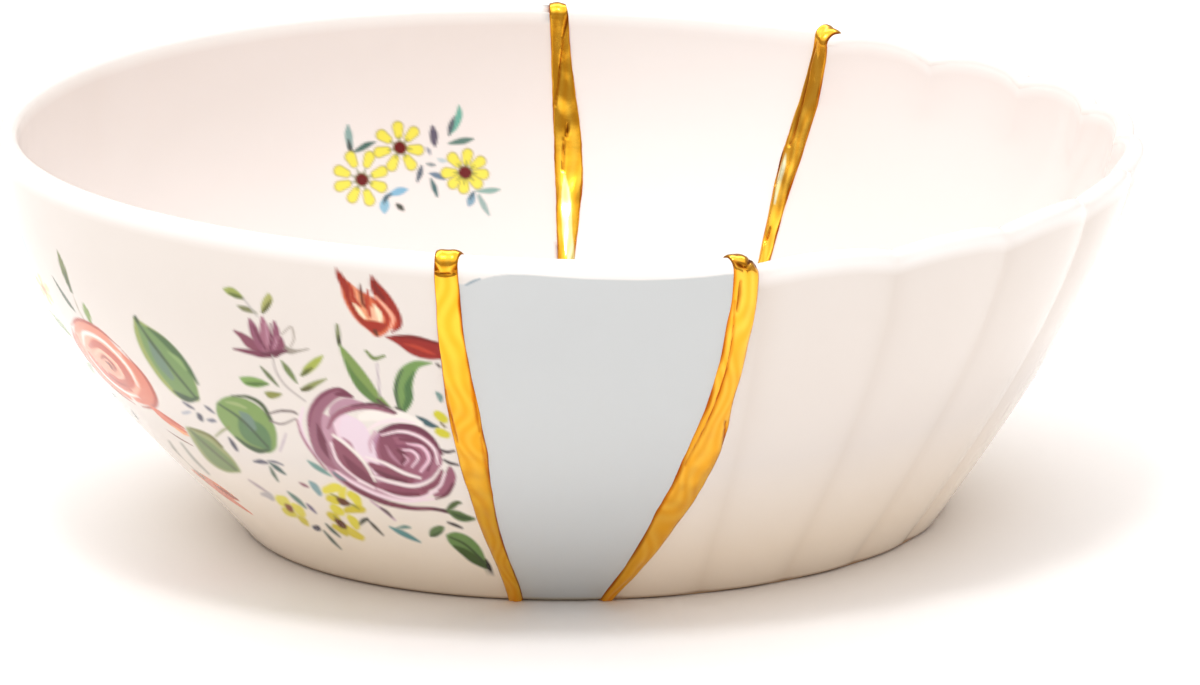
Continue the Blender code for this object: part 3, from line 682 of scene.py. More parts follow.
GREEN_LEAVES = (
    ("A1AA64", (1, 7.5, 13, 15.5, 15, 11, 2.5), (134, 318), (142, 331), (153, 345), (165, 360), (175, 374),
     (186, 389), (197, 399)),
    ("819B62", (1, 5.5, 11, 13.5, 13, 9.5, 2), (137, 322), (145, 333), (156, 346), (167, 360), (177, 374),
     (187, 389), (197, 398)),
    ("7A907A", (1, 4, 4, 2), (149, 341), (155, 351), (162, 364), (172, 378)),
    ("5D784C", (0.8, 2.6, 3, 2.4, 1), (148, 328), (162, 339), (176, 353), (188, 368), (198, 384)),
    ("536742", (0.6, 1.3, 1.2, 1), (136, 320), (152, 343), (172, 369), (196, 398)),
    ("93AA6E", (0.6, 2, 1), (168, 352), (178, 360), (186, 370)),
    ("4D6446", (0.8, 2.6, 2.6, 1.4), (174, 391), (183, 397), (191, 400), (198, 398)),
    ("4C5E3A", (1.6, 1.2), (135, 317), (138, 322)),
    ("8AA262", (4, 15, 19.5, 18, 9), (220, 405), (232, 411), (246, 421), (258, 433), (268, 444)),
    ("68885C", (2, 9, 11, 8, 3), (240, 420), (248, 428), (256, 434), (263, 440), (269, 448)),
    ("7A9080", (1, 4.6, 3.4), (240, 412), (247, 419), (253, 428)),
    ("546440", (0.8, 1.6, 2, 1.6), (232, 396), (248, 397), (262, 405), (271, 420)),
    ("4D6446", (0.8, 1.8, 2.4, 1.2), (236, 437), (248, 446), (260, 451), (269, 450)),
    ("4D6446", (0.7, 1.2, 1), (219, 404), (242, 420), (268, 447)),
    ("A5B27C", (0.6, 1.6, 0.8), (226, 402), (236, 404), (246, 408)),
    ("A0A672", (1.4, 8, 10, 8, 1.8), (187, 428), (201, 439), (214, 453), (227, 464), (239, 471)),
    ("80945E", (1, 5.5, 7, 5.5, 1.2), (193, 433), (205, 445), (217, 457), (228, 465), (237, 470)),
    ("7C7A3E", (0.7, 1.4, 1.2), (190, 428), (210, 436), (222, 447)),
    ("68744E", (0.6, 1.2, 0.8), (190, 430), (212, 450), (236, 470)),
    ("8F9456", (0.9, 1.3, 0.9), (216, 436), (222, 431), (229, 427)),
    ("7A6A68", (0.8, 1.2, 1.2, 0.8), (268, 414), (280, 411), (292, 411.5), (297, 414)),
    ("8A7A78", (0.7, 1, 0.7), (270, 421), (282, 424), (295, 419)),
    ("C5B5BA", (0.8, 1.3, 0.8), (280, 451), (283, 443), (286, 434)),
    ("6A6A78", (0.7, 1.4, 0.7), (183, 402), (189, 406), (194, 409)),
    ("B0B0B8", (1.2, 1.6, 0.9), (183, 413), (187, 412.5), (190, 412)),
    ("5A5A68", (1.4, 2.6, 1.6), (198, 414), (200, 417), (202, 420)),
    ("6A6A78", (0.7, 1.4, 0.7), (205, 406), (209, 409), (214, 413)),
    ("7A7A88", (1, 2, 1.2), (208, 420), (212, 420.5), (215, 421)),
    ("5A5A68", (0.8, 2, 1.4), (229, 438), (233, 444), (237, 450)),
    ("6A6A78", (0.8, 2.2, 1.2), (254, 461.5), (260, 461.5), (267, 463)),
    ("7A7A84", (0.7, 1.2, 0.6), (268, 461), (275, 462), (283, 465)),
    ("5F7570", (0.8, 2.2, 1), (270, 463), (277, 468), (285, 474)),
    ("6D7E70", (0.8, 1.8, 0.9), (270, 467), (273, 473), (278, 481)),
    ("B5A5A8", (0.7, 1.2, 0.8), (249, 480), (258, 486), (267, 492)),
    ("BDB4B2", (1.6, 3, 2), (262, 494), (268, 495), (273, 499)),
)
LOW_TWIGS = (
    ("8A8A7C", (0.7, 1.3, 1.2, 0.8), (169, 441), (180, 457), (191, 468), (204, 478)),
    ("96968A", (0.7, 1.1, 0.7), (181, 443), (194, 459), (209, 474)),
)
# The bouquet's far left, drawn unrolled: the same units, along the wall from this azimuth and down its slope
SIDE_AZIMUTH = 209.5
SIDE_HEIGHT = 0.037
SIDE_SLOPE = 1.35
SALMON_ROSE = (
    ("EBAE94", (36, 47, 47, 36), (-20, -6), (-6, -1), (8, 3), (20, 6)),
    ("DD8C70", (3, 10, 12, 10, 4), (-50, -30), (-61, -6), (-54, 22), (-34, 42), (-8, 52)),
    ("D98266", (3, 10, 11, 9, 3), (48, -30), (60, -4), (54, 24), (32, 42), (6, 52)),
    ("E3957A", (3, 9, 9, 3), (-46, -34), (-18, -51), (20, -50), (46, -32)),
    ("B8573F", (0.8, 2.6, 3, 2.6, 1), (-54, -36), (-70, -8), (-62, 30), (-38, 52), (-8, 62)),
    ("B8573F", (0.8, 2.6, 3, 2.6, 1), (54, -36), (69, -4), (62, 30), (38, 52), (8, 61)),
    ("B8573F", (0.8, 2.6, 2.6, 0.8), (-50, -42), (-18, -60), (22, -59), (52, -40)),
    ("D0745A", (3, 7, 7, 3), (-42, -4), (-34, 20), (-12, 34), (14, 34)),
    ("C9664C", (3, 7, 8, 8, 7, 4), (-26, -18), (2, -30), (28, -14), (30, 12), (8, 26), (-16, 20)),
    ("F9EAE2", (1, 3, 3.2, 2.6, 1.2), (-44, -14), (-20, -40), (20, -40), (44, -12), (40, 20)),
    ("F9EAE2", (1, 3, 3, 1.2), (-50, 4), (-36, 32), (-8, 44), (20, 42)),
    ("F4C3AA", (1, 2.4, 2.6, 2, 1), (-24, -8), (0, -20), (20, -8), (18, 12), (0, 20)),
    ("B0523A", (1, 3, 3, 1), (-14, -4), (2, -12), (12, 0), (2, 10)),
    ("983F28", (2, 3.4, 2), (-4, -3), (3, 0), (0, 6)),
    ("B54E35", (0.8, 2.2, 2.2, 1), (-30, 6), (-22, 22), (-4, 30), (14, 27)),
    ("DA7F61", (3, 9, 8, 4), (34, 52), (44, 64), (54, 74), (66, 80)),
    ("C66044", (1, 3.4, 2), (46, 56), (58, 66), (70, 74)),
    ("EBAD7C", (1.6, 4, 2), (48, 76), (58, 84), (66, 86)),
    ("DD855F", (5, 13, 13, 5), (-26, 176), (-8, 182), (10, 190), (26, 198)),
    ("B04931", (2, 7, 3), (4, 186), (16, 192), (28, 199)),
    ("DB8468", (3, 9, 8, 3), (-22, 184), (-6, 196), (10, 208), (26, 222)),
    ("8A6052", (0.8, 1.8, 1), (24, 92), (38, 100), (54, 106)),
)
FAR_LEFT_SPRIG = (
    ("848A56", (1.2, 6.4, 5.4, 1.6), (-16, -156), (-13, -138), (-10, -118), (-8, -102)),
    ("5A6648", (0.8, 3, 1.8), (-12, -134), (-10, -118), (-8, -102)),
    ("6F7A6A", (1, 3.4, 4.6, 1.6), (-48, -112), (-37, -96), (-27, -82), (-18, -72)),
    ("93A562", (1.2, 6, 4, 1.6), (12, -92), (12, -80), (11, -68), (10, -58)),
    ("BDB2A0", (0.8, 1.4, 1.2), (-8, -100), (-6, -80), (-2, -58)),
    ("C9D3D0", (1.6, 7, 5, 1.6), (-128, -150), (-122, -136), (-114, -124), (-106, -116)),
    ("8CA862", (1.2, 8, 8, 1.6), (-76, -16), (-92, -26), (-108, -30), (-126, -40)),
    ("5F7A40", (0.8, 3, 1), (-80, -16), (-98, -25), (-120, -34)),
    ("84A76C", (1.2, 7, 7, 1.4), (-72, 22), (-86, 34), (-102, 42), (-116, 44)),
    ("55734C", (0.8, 2.6, 1), (-74, 25), (-90, 38), (-110, 45)),
    ("6A6A78", (0.8, 1.8, 0.9), (-96, 4), (-106, 6), (-116, 4)),
    ("7FA098", (0.8, 3, 1), (-66, 66), (-78, 74), (-92, 78)),
    ("5F7570", (0.8, 2.6, 1), (-44, 84), (-52, 96), (-62, 104)),
)
FAR_LEFT_DAISY = (-98, -78, -98, -92, -85, -84, -86, -71, -97, -64, -111, -70, -112, -85)
INNER_SPRIG = (
    ("98AEA8", (1.4, 3.8, 3.2), (348, 126), (348.5, 135), (350, 146)),
    ("5A5A58", (0.8, 2.4, 1), (348.5, 140), (350, 148), (352, 152)),
    ("5F7A70", (0.8, 3, 2.6, 0.8), (375, 142), (367, 145), (360, 149), (353, 152)),
    ("7FB5A4", (0.8, 3.4, 3.2, 0.8), (459, 106), (459, 115), (455, 126), (450, 134)),
    ("6E7478", (0.8, 2.8, 1), (454, 117), (451, 126), (449, 135)),
    ("6F8A80", (0.8, 3.2, 2.8, 0.9), (473, 139), (465, 140.5), (457, 142), (449, 143.5)),
    ("736A78", (1.6, 4, 3.6, 1), (432.5, 127), (433.5, 134), (434, 140), (435, 146)),
    ("9A9AA2", (0.8, 1.8, 0.9), (427, 148), (429, 151), (430, 154)),
    ("929898", (0.8, 1.9, 0.8), (427, 164), (431, 164.6), (435, 165)),
    ("6C737D", (0.9, 2.9, 1.2), (421.5, 166), (420, 173), (417.5, 181)),
    ("7A8A9A", (0.9, 3, 1.8), (430, 173.5), (437, 175.5), (444, 178.5)),
    ("5F7A7A", (0.9, 2.7, 1.2), (431, 179), (434, 187), (437, 196)),
    ("C2CACA", (1, 2.4, 1), (438, 159), (442, 160.5), (446, 161)),
    ("90B8CC", (1.2, 4, 3, 1.2), (407, 189.5), (400, 191), (394, 193), (388, 195)),
    ("9ABCCB", (1.8, 5, 3.4, 1.2), (384.5, 212), (384.5, 206), (385, 201), (386, 196)),
    ("5A6A70", (0.8, 2.2, 1), (384, 203), (386, 198), (391, 194)),
    ("5A5A50", (1.2, 2.8, 1.4), (397, 204.5), (400, 207), (403, 209.5)),
    ("96B0A6", (0.9, 3, 2.4, 0.8), (499.5, 189.5), (492, 190.5), (484, 191), (476, 191)),
    ("8FA8B5", (1.6, 4.2, 1.8), (469, 205), (471, 200), (473, 194)),
    ("5F7078", (0.7, 1.6, 0.8), (470, 199), (472, 195), (474, 192)),
    ("A2B2AC", (0.9, 3, 1.8), (489, 215), (484, 206), (479, 196)),
)
# A daisy's middle, and then the middles of its petals
INNER_DAISIES = (
    (362, 179.6, 351.2, 158.5, 368.9, 158.5, 341, 171.4, 380.4, 172.1, 341.7, 185.7, 379.7, 186.4, 353.3,
     195.9, 368.9, 198.6),
    (400, 147.7, 398, 128.7, 383.1, 136.1, 412.3, 133.4, 381, 151.8, 416.4, 149.7, 392.6, 164, 410.3, 163.3),
    (465.2, 172.5, 467.3, 156, 478.8, 162.6, 481.5, 174, 453.7, 159.2, 448.3, 172.8, 454.4, 182.3, 463.9,
     186.4, 476, 182.3),
)
# The stray sprig on the far side, unrolled about its own middle
STRAY_AZIMUTH = 142.0
STRAY_HEIGHT = 0.04
STRAY_SPRIG = (
    ("7A8A70", (0.8, 1.2, 1, 0.6), (-62, 30), (-26, 12), (12, 6), (52, -24)),
    ("8CA862", (1, 6, 7, 1), (-26, 12), (-34, 2), (-42, -10), (-46, -22)),
    ("5F7A40", (0.6, 2.2, 1), (-27, 11), (-35, 1), (-43, -13)),
    ("84A76C", (1, 6, 6.4, 1), (2, 7), (8, 18), (18, 28), (32, 34)),
    ("55734C", (0.6, 2, 1), (3, 8), (12, 20), (26, 31)),
    ("7FA098", (0.8, 3, 0.8), (24, -4), (28, -16), (36, -28)),
    ("A26688", (2, 6, 3), (48, -22), (58, -28), (66, -38)),
    ("9A5A78", (2, 5, 3), (48, -22), (60, -20), (72, -24)),
    ("B57C98", (2, 5.4, 3), (48, -22), (52, -34), (54, -46)),
)
STRAY_DAISY = (-68, 32, -67, 17, -54, 25, -56, 40, -69, 47, -82, 39, -81, 24)
# A daisy's enamels: petals, their rims and the heart
INNER_YELLOW = ("EBDD62", "AFA154", "7A1C18")
STRAY_YELLOW = ("EDDC4C", "B5A04A", "82221E")
FADED_YELLOW = ("EFE2A0", "D2C184", "D09A6A")
STAMEN_OLIVE = "7F8450"


def daisy(ink, at, places, enamels):
    """A small open flower: blunt petals with a thin darker rim, shaded olive round a dark heart."""
    hue, rim, heart = enamels
    spots = np.array(places, float).reshape(-1, 2)
    middle = spots[0]
    ways = [(spot - middle) / np.linalg.norm(spot - middle) for spot in spots[1:]]
    for spot, way in zip(spots[1:], ways):
        stroke(ink, at, rim, (spot - way * 6, spot + way * 2), (4.4, 6), 0.9)
        stroke(ink, at, hue, (spot - way * 6, spot + way * 1.8), (3.4, 4.9))
    stroke(ink, at, rim, (middle, middle), (7, 7), 0.6)
    for way in ways:
        stroke(ink, at, STAMEN_OLIVE, (middle + way * 5, middle + way * 11.5), (2.2, 0.8), 0.6)
    stroke(ink, at, heart, (middle - (0.8, 0.6), middle + (0.8, 0.6)), (5.6, 5.6))


def shown_on_drawing(flat, shown):
    """The drawing's places for the points that it shows, and far off it for all the others."""
    return np.where(shown[:, None], on_drawing(flat), OFF_DRAWING)


def unrolled(flat, azimuth, middle, height):
    """The wall unrolled about a place: along it from the middle's azimuth and down its slope, in drawing units."""
    aside = np.radians(azimuth - middle) * np.hypot(flat[:, 0], flat[:, 1])
    return np.stack([aside, (height - flat[:, 2]) * SIDE_SLOPE], -1) * UNITS_PER_METRE


# How the white changes over every shard, painted highlight, painted shade and painted light among them, as factors
# of red, green and blue light and heights in metres
# Whiter over the lip band: partly the glaze running thin there and partly a painted highlight on the lip's lit top
LIP_WHITE = np.array([1.05, 1.1, 1.15])
LIP_BAND = {"outside": 0.0016, "inside": 0.0012}
LIP_FADE = 0.0018
# Painted shade below the lip band: the outside painted darker than the inside, and the inside a little darker and
# cooler than the lip
PAINTED_WALL_SHADE = {"outside": (0.88, 0.88, 0.88), "inside": (0.95, 0.95, 0.98)}
# Painted warm light low on the outside, strongest toward the foot and fading out above WARMTH_TOP
PAINTED_FOOT_WARMTH = (1.17, 1.11, 0.99)
WARMTH_TOP = 0.026
WARMTH_FADE = 0.018
# The foot's bare lowest edge, whose brown also stands in for painted shade where the foot meets the table
BISCUIT_AND_CONTACT_SHADE = "B59A7E"
BISCUIT_FADE = 0.0006


def white_tone_and_painted_light(flat, outer, fluting):
    """What every shard's white is multiplied by.

    The lip is whiter, down to a band below the rim that fades out in a straight line: partly the glaze running
    thin over the lip and partly a painted highlight on its lit top. Below the band the walls carry painted shade,
    the outside darker than the inside. Low on the outside it is painted warmer and lighter, more so toward the
    foot, as painted warm light, and the foot's lowest edge is bare brownish biscuit, whose brown also stands in
    for painted shade where the foot meets the table.
    """
    ink = np.tile([1.0, 1.0, 1.0, 0.0], (len(flat), 1))
    face = "outside" if outer else "inside"
    azimuth = azimuth_of(flat)
    top = toward_fluted(RIM_HEIGHT, FLUTED_RIM_HEIGHT, azimuth) + SCALLOP * lobe_dip(azimuth) * fluting
    past = np.clip((top - flat[:, 2] - LIP_BAND[face]) / LIP_FADE, 0, 1)[:, None]
    ink[:, :3] = LIP_WHITE + (np.array(PAINTED_WALL_SHADE[face]) - LIP_WHITE) * past
    if outer:
        # Painted warm light low on the outside, and the foot's edge darkened to brown biscuit that also stands in
        # for painted contact shade
        warm = np.clip((WARMTH_TOP - flat[:, 2]) / WARMTH_FADE, 0, 1)[:, None]
        bare = np.clip(1.2 - flat[:, 2] / BISCUIT_FADE, 0, 1)[:, None]
        ink[:, :3] *= 1 + warm * (np.array(PAINTED_FOOT_WARMTH) - 1)
        ink[:, :3] *= 1 - bare * (1 - np.array(linear(BISCUIT_AND_CONTACT_SHADE)[:3]))
    return ink


# Azimuths in degrees between which each part of the painting lies
SPRIG_ZONE = (94, 126)
BOUQUET_START = 207


def paint_flowers(points, outer):
    """The bouquet and a stray sprig outside, or the sprig on the inner wall at the back."""
    flat = points.reshape(-1, 3)
    ink = white_tone_and_painted_light(flat, outer, 0)
    azimuth = np.degrees(azimuth_of(flat))
    if not outer:
        here = (azimuth > SPRIG_ZONE[0]) & (azimuth < SPRIG_ZONE[1])
        at = shown_on_drawing(flat, here)
        paint_motif(ink, at, INNER_SPRIG, 2.6)
        for places in INNER_DAISIES:
            daisy(ink, at, places, INNER_YELLOW)
        return ink.reshape(points.shape[:-1] + (4,))
    at = unrolled(flat, azimuth, SIDE_AZIMUTH, SIDE_HEIGHT)
    paint_motif(ink, at, FAR_LEFT_SPRIG)
    daisy(ink, at, FAR_LEFT_DAISY, FADED_YELLOW)
    paint_motif(ink, at, SALMON_ROSE)
    at = shown_on_drawing(flat, azimuth > BOUQUET_START)
    for motif in (LOW_TWIGS, GREEN_LEAVES, PURPLE_FLOWER, LONG_LEAVES, PURPLE_ROSE, RED_TULIP, SEAM_LEAVES):
        paint_motif(ink, at, motif)
    paint_motif(ink, at, YELLOW_FLOWERS)
    at = unrolled(flat, azimuth, STRAY_AZIMUTH, STRAY_HEIGHT)
    paint_motif(ink, at, STRAY_SPRIG)
    daisy(ink, at, STRAY_DAISY, STRAY_YELLOW)
    return ink.reshape(points.shape[:-1] + (4,))


# Rows and columns lie closest where the enamel does, about a third of a millimetre apart
ring_rows = np.array([-1, -0.9, -0.8, -0.2, -0.1])
foot_rows = np.array([0, 0.004, 0.009, 0.014, 0.03, 0.05, 0.075, 0.1])
floor_rows = np.linspace(3, 4, 15)[1:]
fine_up = [ring_rows, foot_rows, np.linspace(0.1, 0.95, 192)[1:], np.linspace(0.95, 1, 6)[1:]]
fine_up = np.concatenate([*fine_up, np.linspace(1, 2, 14)[1:]])
fine_down = [np.linspace(2, 2.2, 8)[1:], np.linspace(2.2, 2.6, 96)[1:], np.linspace(2.6, 3, 14)[1:], floor_rows]
fine_down = np.concatenate(fine_down)

floral = shard(
    "floral_glaze",
    [
        (
            ("left", -BROKEN_EDGE, 1),
            ("left", -BROKEN_EDGE, -1),
            degrees((90, 132, 2.5), (132, 152, 0.4), (152, 194, 2.2), (194, 216, 0.33), (216, 259, 0.22)),
            degrees((90, 98.6, 1.2), (98.6, 122.5, 0.24), (122.5, 259, 3.4)),
        )
    ],
    fine_up,
    fine_down,
    0,
    paint_flowers,
)
# Overglaze enamel painted on warm white glazed stoneware: flat soft-edged colour under the same gloss
floral_glaze, tree, shader, tone = glaze("painted_stoneware_glaze", "F6F0EB", "F1E9E2")
# The paint attribute multiplies in the enamel, and also the white's painted highlight, painted shade and painted
# light
painted = add(tree, "ShaderNodeVertexColor", layer_name="paint")
enamelled = add(
    tree,
    "ShaderNodeMix",
    {"Factor": 1.0, "A": tone, "B": painted.outputs["Color"]},
    data_type="RGBA",
    blend_type="MULTIPLY",
)
tree.links.new(enamelled.outputs["Result"], shader.inputs["Base Color"])
floral.data.materials.append(floral_glaze)
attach(floral, "root")
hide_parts("floral_shard")

# Plain shard: the middle strip of another bowl, front wall, floor and back wall in one. Pale blue-grey glaze
# covers its outside up to just under the lip; lip and inside are white.

# The blue-grey's wavering upper edge at the front: azimuths in degrees, and shares of the rim's height
GLAZE_EDGE_AZIMUTHS = (257.0, 258.6, 259.9, 261.2, 262.4, 264.2, 267.4, 270, 274.9, 278, 281, 283.1)
GLAZE_EDGE_SHARES = (0.937, 0.938, 0.951, 0.962, 0.968, 0.9695, 0.966, 0.963, 0.961, 0.9625, 0.966, 0.971)
GLAZE_EDGE_BACK = 0.965
GLAZE_EDGE_SOFTNESS = 0.0045
FOOT_EDGE = 0.0008
# A thin darker line left where the glaze ran, on the painter's drawing
CORNER_RUN = ((466, 285), (473, 281.5), (480, 279))
RUN_GREY = "93A4AC"


def dip_blue_grey(points, outer):
    """How much of the blue-grey glaze covers each point, kept in the paint's alpha: all below the edge that it
    was dipped to, as a share of the height, and none above. Where it covers, the white's changes of tone, with
    their painted highlight, shade and light, give way to it, but for the bare edge of the foot."""
    flat = points.reshape(-1, 3)
    ink = white_tone_and_painted_light(flat, outer, 0)
    if outer:
        azimuth = azimuth_of(flat)
        edge = np.interp(np.degrees(azimuth), GLAZE_EDGE_AZIMUTHS, GLAZE_EDGE_SHARES, left=GLAZE_EDGE_BACK)
        share = flat[:, 2] / toward_fluted(RIM_HEIGHT, FLUTED_RIM_HEIGHT, azimuth)
        covered = np.clip(0.5 + (edge - share) / GLAZE_EDGE_SOFTNESS, 0, 1)
        above_foot = (flat[:, 2] >= FOOT_EDGE) * covered
        ink[:, :3] += (1 - ink[:, :3]) * above_foot[:, None]
        ink[:, 3] = covered
        at = shown_on_drawing(flat, flat[:, 1] < 0)
        stroke(ink, at, RUN_GREY, CORNER_RUN, (0.6, 0.9, 0.5))
    return ink.reshape(points.shape[:-1] + (4,))


plain_up = [ring_rows, foot_rows, np.linspace(0.1, 0.88, 66)[1:], np.linspace(0.88, 1, 42)[1:]]
plain_up = np.concatenate([*plain_up, np.linspace(1, 2, 16)[1:]])
plain_down = np.concatenate([np.linspace(2, 3, 70)[1:], floor_rows])
plain_columns = degrees((256, 261.6, 0.14), (261.6, 288, 0.5))
plain_back_columns = degrees((58, 96, 0.5))
plain = shard(
    "plain_glaze",
    [
        (("left", BROKEN_EDGE, -1), ("right", -BROKEN_EDGE, -1), plain_columns, plain_columns),
        (("right", -BROKEN_EDGE, 1), ("left", BROKEN_EDGE, 1), plain_back_columns, plain_back_columns),
    ],
    plain_up,
    plain_down,
    0,
    dip_blue_grey,
)
# Two dipped glazes on stoneware, milky blue-grey over white: an even cool tone that meets the white softly
plain_glaze, tree, shader, tone = glaze("blue_grey_glaze", "CFD3D4", "C9CED1")
# The paint attribute also carries the white's painted highlight, painted shade and painted light, which give way
# under the blue-grey
dipped = add(tree, "ShaderNodeVertexColor", layer_name="paint")
two_glazes = add(
    tree, "ShaderNodeMix", {"Factor": dipped.outputs["Alpha"], "A": linear("F6F1EC"), "B": tone}, data_type="RGBA"
)
run = add(
    tree,
    "ShaderNodeMix",
    {"Factor": 1.0, "A": two_glazes.outputs["Result"], "B": dipped.outputs["Color"]},
    data_type="RGBA",
    blend_type="MULTIPLY",
)
tree.links.new(run.outputs["Result"], shader.inputs["Base Color"])
plain.data.materials.append(plain_glaze)
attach(plain, "root")
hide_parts("plain_shard")

# Fluted shard: the right part, pressed in a mould with 24 upright flutes to the round and a scalloped lip,
# under the same kind of warm white glaze.

# Painted shade in the flutes' valleys, with some real pooled glaze: how much red, green and blue are darkened
POOL_AND_PAINTED_SHADE = np.array([0.055, 0.07, 0.085])


def pool_and_shade_in_flutes(points, outer):
    """The white is darker in the valleys, with the dip to the power 2.5: partly glaze pooling there and partly
    painted shade.
    """
    flat = points.reshape(-1, 3)
    ink = white_tone_and_painted_light(flat, outer, 1)
    if outer:
        ink[:, :3] *= 1 - np.abs(lobe_dip(azimuth_of(flat)))[:, None] ** 2.5 * POOL_AND_PAINTED_SHADE
    return ink.reshape(points.shape[:-1] + (4,))


fluted_up = np.concatenate([ring_rows, foot_rows, np.linspace(0.1, 1, 84)[1:], np.linspace(1, 2, 18)[1:]])
fluted_down = np.concatenate([np.linspace(2, 2.25, 24)[1:], np.linspace(2.25, 3, 34)[1:], floor_rows])
fluted_columns = LOBE_TURN + math.radians(15) * np.arange(17.8, 28.5, 1 / 26)
fluted = shard(
    "fluted_glaze",
    [(("right", BROKEN_EDGE, -1), ("right", BROKEN_EDGE, 1), fluted_columns, fluted_columns)],
    fluted_up,
    fluted_down,
    1,
    pool_and_shade_in_flutes,
)
# Warm white glaze on moulded stoneware: glossy, whiter on the lip with a painted highlight, and deeper in each
# valley, partly pooled glaze and partly painted shade
fluted_glaze, tree, shader, tone = glaze("fluted_stoneware_glaze", "F5EFEA", "F0E7E0")
shade = add(tree, "ShaderNodeVertexColor", layer_name="paint")
pooled = add(
    tree,
    "ShaderNodeMix",
    {"Factor": 1.0, "A": tone, "B": shade.outputs["Color"]},
    data_type="RGBA",
    blend_type="MULTIPLY",
)
tree.links.new(pooled.outputs["Result"], shader.inputs["Base Color"])
fluted.data.materials.append(fluted_glaze)
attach(fluted, "root")
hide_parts("fluted_shard")

# Gold seams: putty of lacquer fills each crack, and gold leaf over it is burnished bright. Each seam is one
# bead that runs down the outside, under the foot, up the far side, over both lips and across the floor.

# How deep the gold's edge tucks under the glaze, how high its edge stands off it, and its crown above that
GOLD_SINK = 0.0004
GOLD_EDGE = 0.00012
GOLD_CROWN = 0.0005
GOLD_FOLDS = 0.00005
CREASE_DEPTH = 0.00034
TABLE_CLEARANCE = 0.00002


def lumps(points, size, seed):
    """Smooth lumps of a given size, from about -1 to 1: the mean of six sines along scattered directions."""
    rng = np.random.default_rng(seed)
    found = 0
    for _ in range(6):
        way = rng.normal(size=3)
        way /= np.linalg.norm(way)
        found = found + np.sin(points @ way * 2 * math.pi / (size * rng.uniform(0.7, 1.5)) + rng.uniform(0, 6.3))
    return found / 3


def bead(points, across, seed):
    """How far the gold stands off the glaze: under it at the very edge, a quick step up and a broad lumpy crown
    that falls away with the third power of the way across."""
    edge = np.clip((1 - np.abs(across)) / 0.11, 0, 1)
    crown = (1 - np.abs(across) ** 3) * GOLD_CROWN
    uneven = 1 + 0.3 * lumps(points, 0.016, seed) + 0.16 * lumps(points, 0.005, seed + 1)
    folds = GOLD_FOLDS * np.sin(5 * across + 3 * lumps(points, 0.02, seed + 2)) * edge
    return -GOLD_SINK + (GOLD_SINK + GOLD_EDGE) * edge**1.5 * (2 - edge) + crown * uneven + folds


# Creases and pits in the gold, on the painter's drawing, by seam and end: -1 is the front and 1 the back. Each
# stroke dents the gold. Its colour darkens the gold there as painted shade, and the lighter SHEEN strokes mark
# streaks of reflection as painted sheen.
PIT_SHADE, CREASE_SHADE, SHEEN = "9C6A2C", "BF8A3C", "DCA850"
SHADED_CREASES = {
    ("left", -1): (
        (CREASE_SHADE, (0.5, 0.9, 1.3, 0.6), (470, 346), (473, 380), (477, 412), (480, 430)),
        (SHEEN, (0.4, 0.6, 0.6, 0.4), (461, 292), (466, 330), (470, 365), (474, 400)),
        (CREASE_SHADE, (0.4, 1, 1.2, 0.5), (446, 388), (450, 408), (455, 428), (458, 440)),
        (SHEEN, (0.4, 0.7, 0.7, 0.4), (481, 436), (487, 468), (495, 508), (503, 545)),
        (PIT_SHADE, (0.9, 1.1, 0.9), (431, 271.5), (446, 273), (460, 271.5)),
        (PIT_SHADE, (1.6, 2.4, 1.2), (433, 262), (435, 266), (439, 270)),
        (PIT_SHADE, (1.4, 2.2, 1.2), (459, 263), (457, 267), (453, 270)),
    ),
    ("right", -1): (
        (PIT_SHADE, (0.6, 1.2, 1, 0.4), (739.5, 280), (738.5, 291), (737, 300), (735.5, 310)),
        (CREASE_SHADE, (0.5, 0.7, 1, 0.8, 0.5), (734, 300), (730, 345), (719, 389), (704, 426), (684, 464)),
        (CREASE_SHADE, (0.6, 1.4, 0.6), (725, 420), (724, 436), (722, 450)),
        (SHEEN, (0.5, 0.8, 0.5), (672, 486), (652, 520), (632, 552)),
        (PIT_SHADE, (0.8, 1.8, 1.4), (733, 262), (738, 266), (744, 268)),
        (PIT_SHADE, (1.6, 1.8), (747, 265), (750, 262)),
        (PIT_SHADE, (1.2, 2, 1.6, 0.8), (753, 263), (757, 268), (761, 269), (764, 266)),
    ),
    ("left", 1): (
        (PIT_SHADE, (0.6, 1.7, 1.4, 0.5), (569, 10), (567, 18), (565, 27), (562, 38)),
        (CREASE_SHADE, (0.4, 0.8, 0.8, 0.4), (562, 40), (560, 62), (558, 84), (555, 106)),
        (PIT_SHADE, (0.6, 1.5, 0.8), (567, 124), (567, 131), (566, 138)),
        (SHEEN, (0.4, 0.8, 0.5), (564, 140), (563, 156), (563, 172)),
    ),
    ("right", 1): (
        (CREASE_SHADE, (0.4, 0.8, 0.8, 0.5), (819, 42), (809, 86), (799, 122), (791, 146)),
        (PIT_SHADE, (0.8, 2, 1.8, 0.8), (790, 126), (788, 132), (786, 138), (785, 146)),
        (PIT_SHADE, (0.6, 1.4, 0.5), (784, 150), (780, 166), (776, 186)),
        (SHEEN, (0.5, 1.2, 0.5), (771, 230), (768, 238), (766, 244)),
    ),
}
# Painted highlights: pale, nearly white forks where the gold reflects the light, on the same drawing
PAINTED_HIGHLIGHT_TINT = np.array([1.05, 1.88, 11.5])
PAINTED_HIGHLIGHT_FORKS = {
    ("left", 1): ((0.5, 4.2, 5, 5, 4.6, 4), (565, 176), (566, 196), (567, 216), (568, 236), (570, 250), (572, 262)),
    ("right", 1): ((0.6, 2.8, 2.6, 0.8), (787, 155), (784, 168), (780, 184), (776, 204)),
}
# The burnisher's drags, as shares of red, green and blue light, whose paler streaks are also painted sheen, and the
# lacquer under the leaf, whose brown at the edges also stands in for painted shade
DRAG_AND_SHEEN_TINT = np.array([0.03, 0.1, 0.3])
LACQUER_AND_EDGE_SHADE = "B8783C"


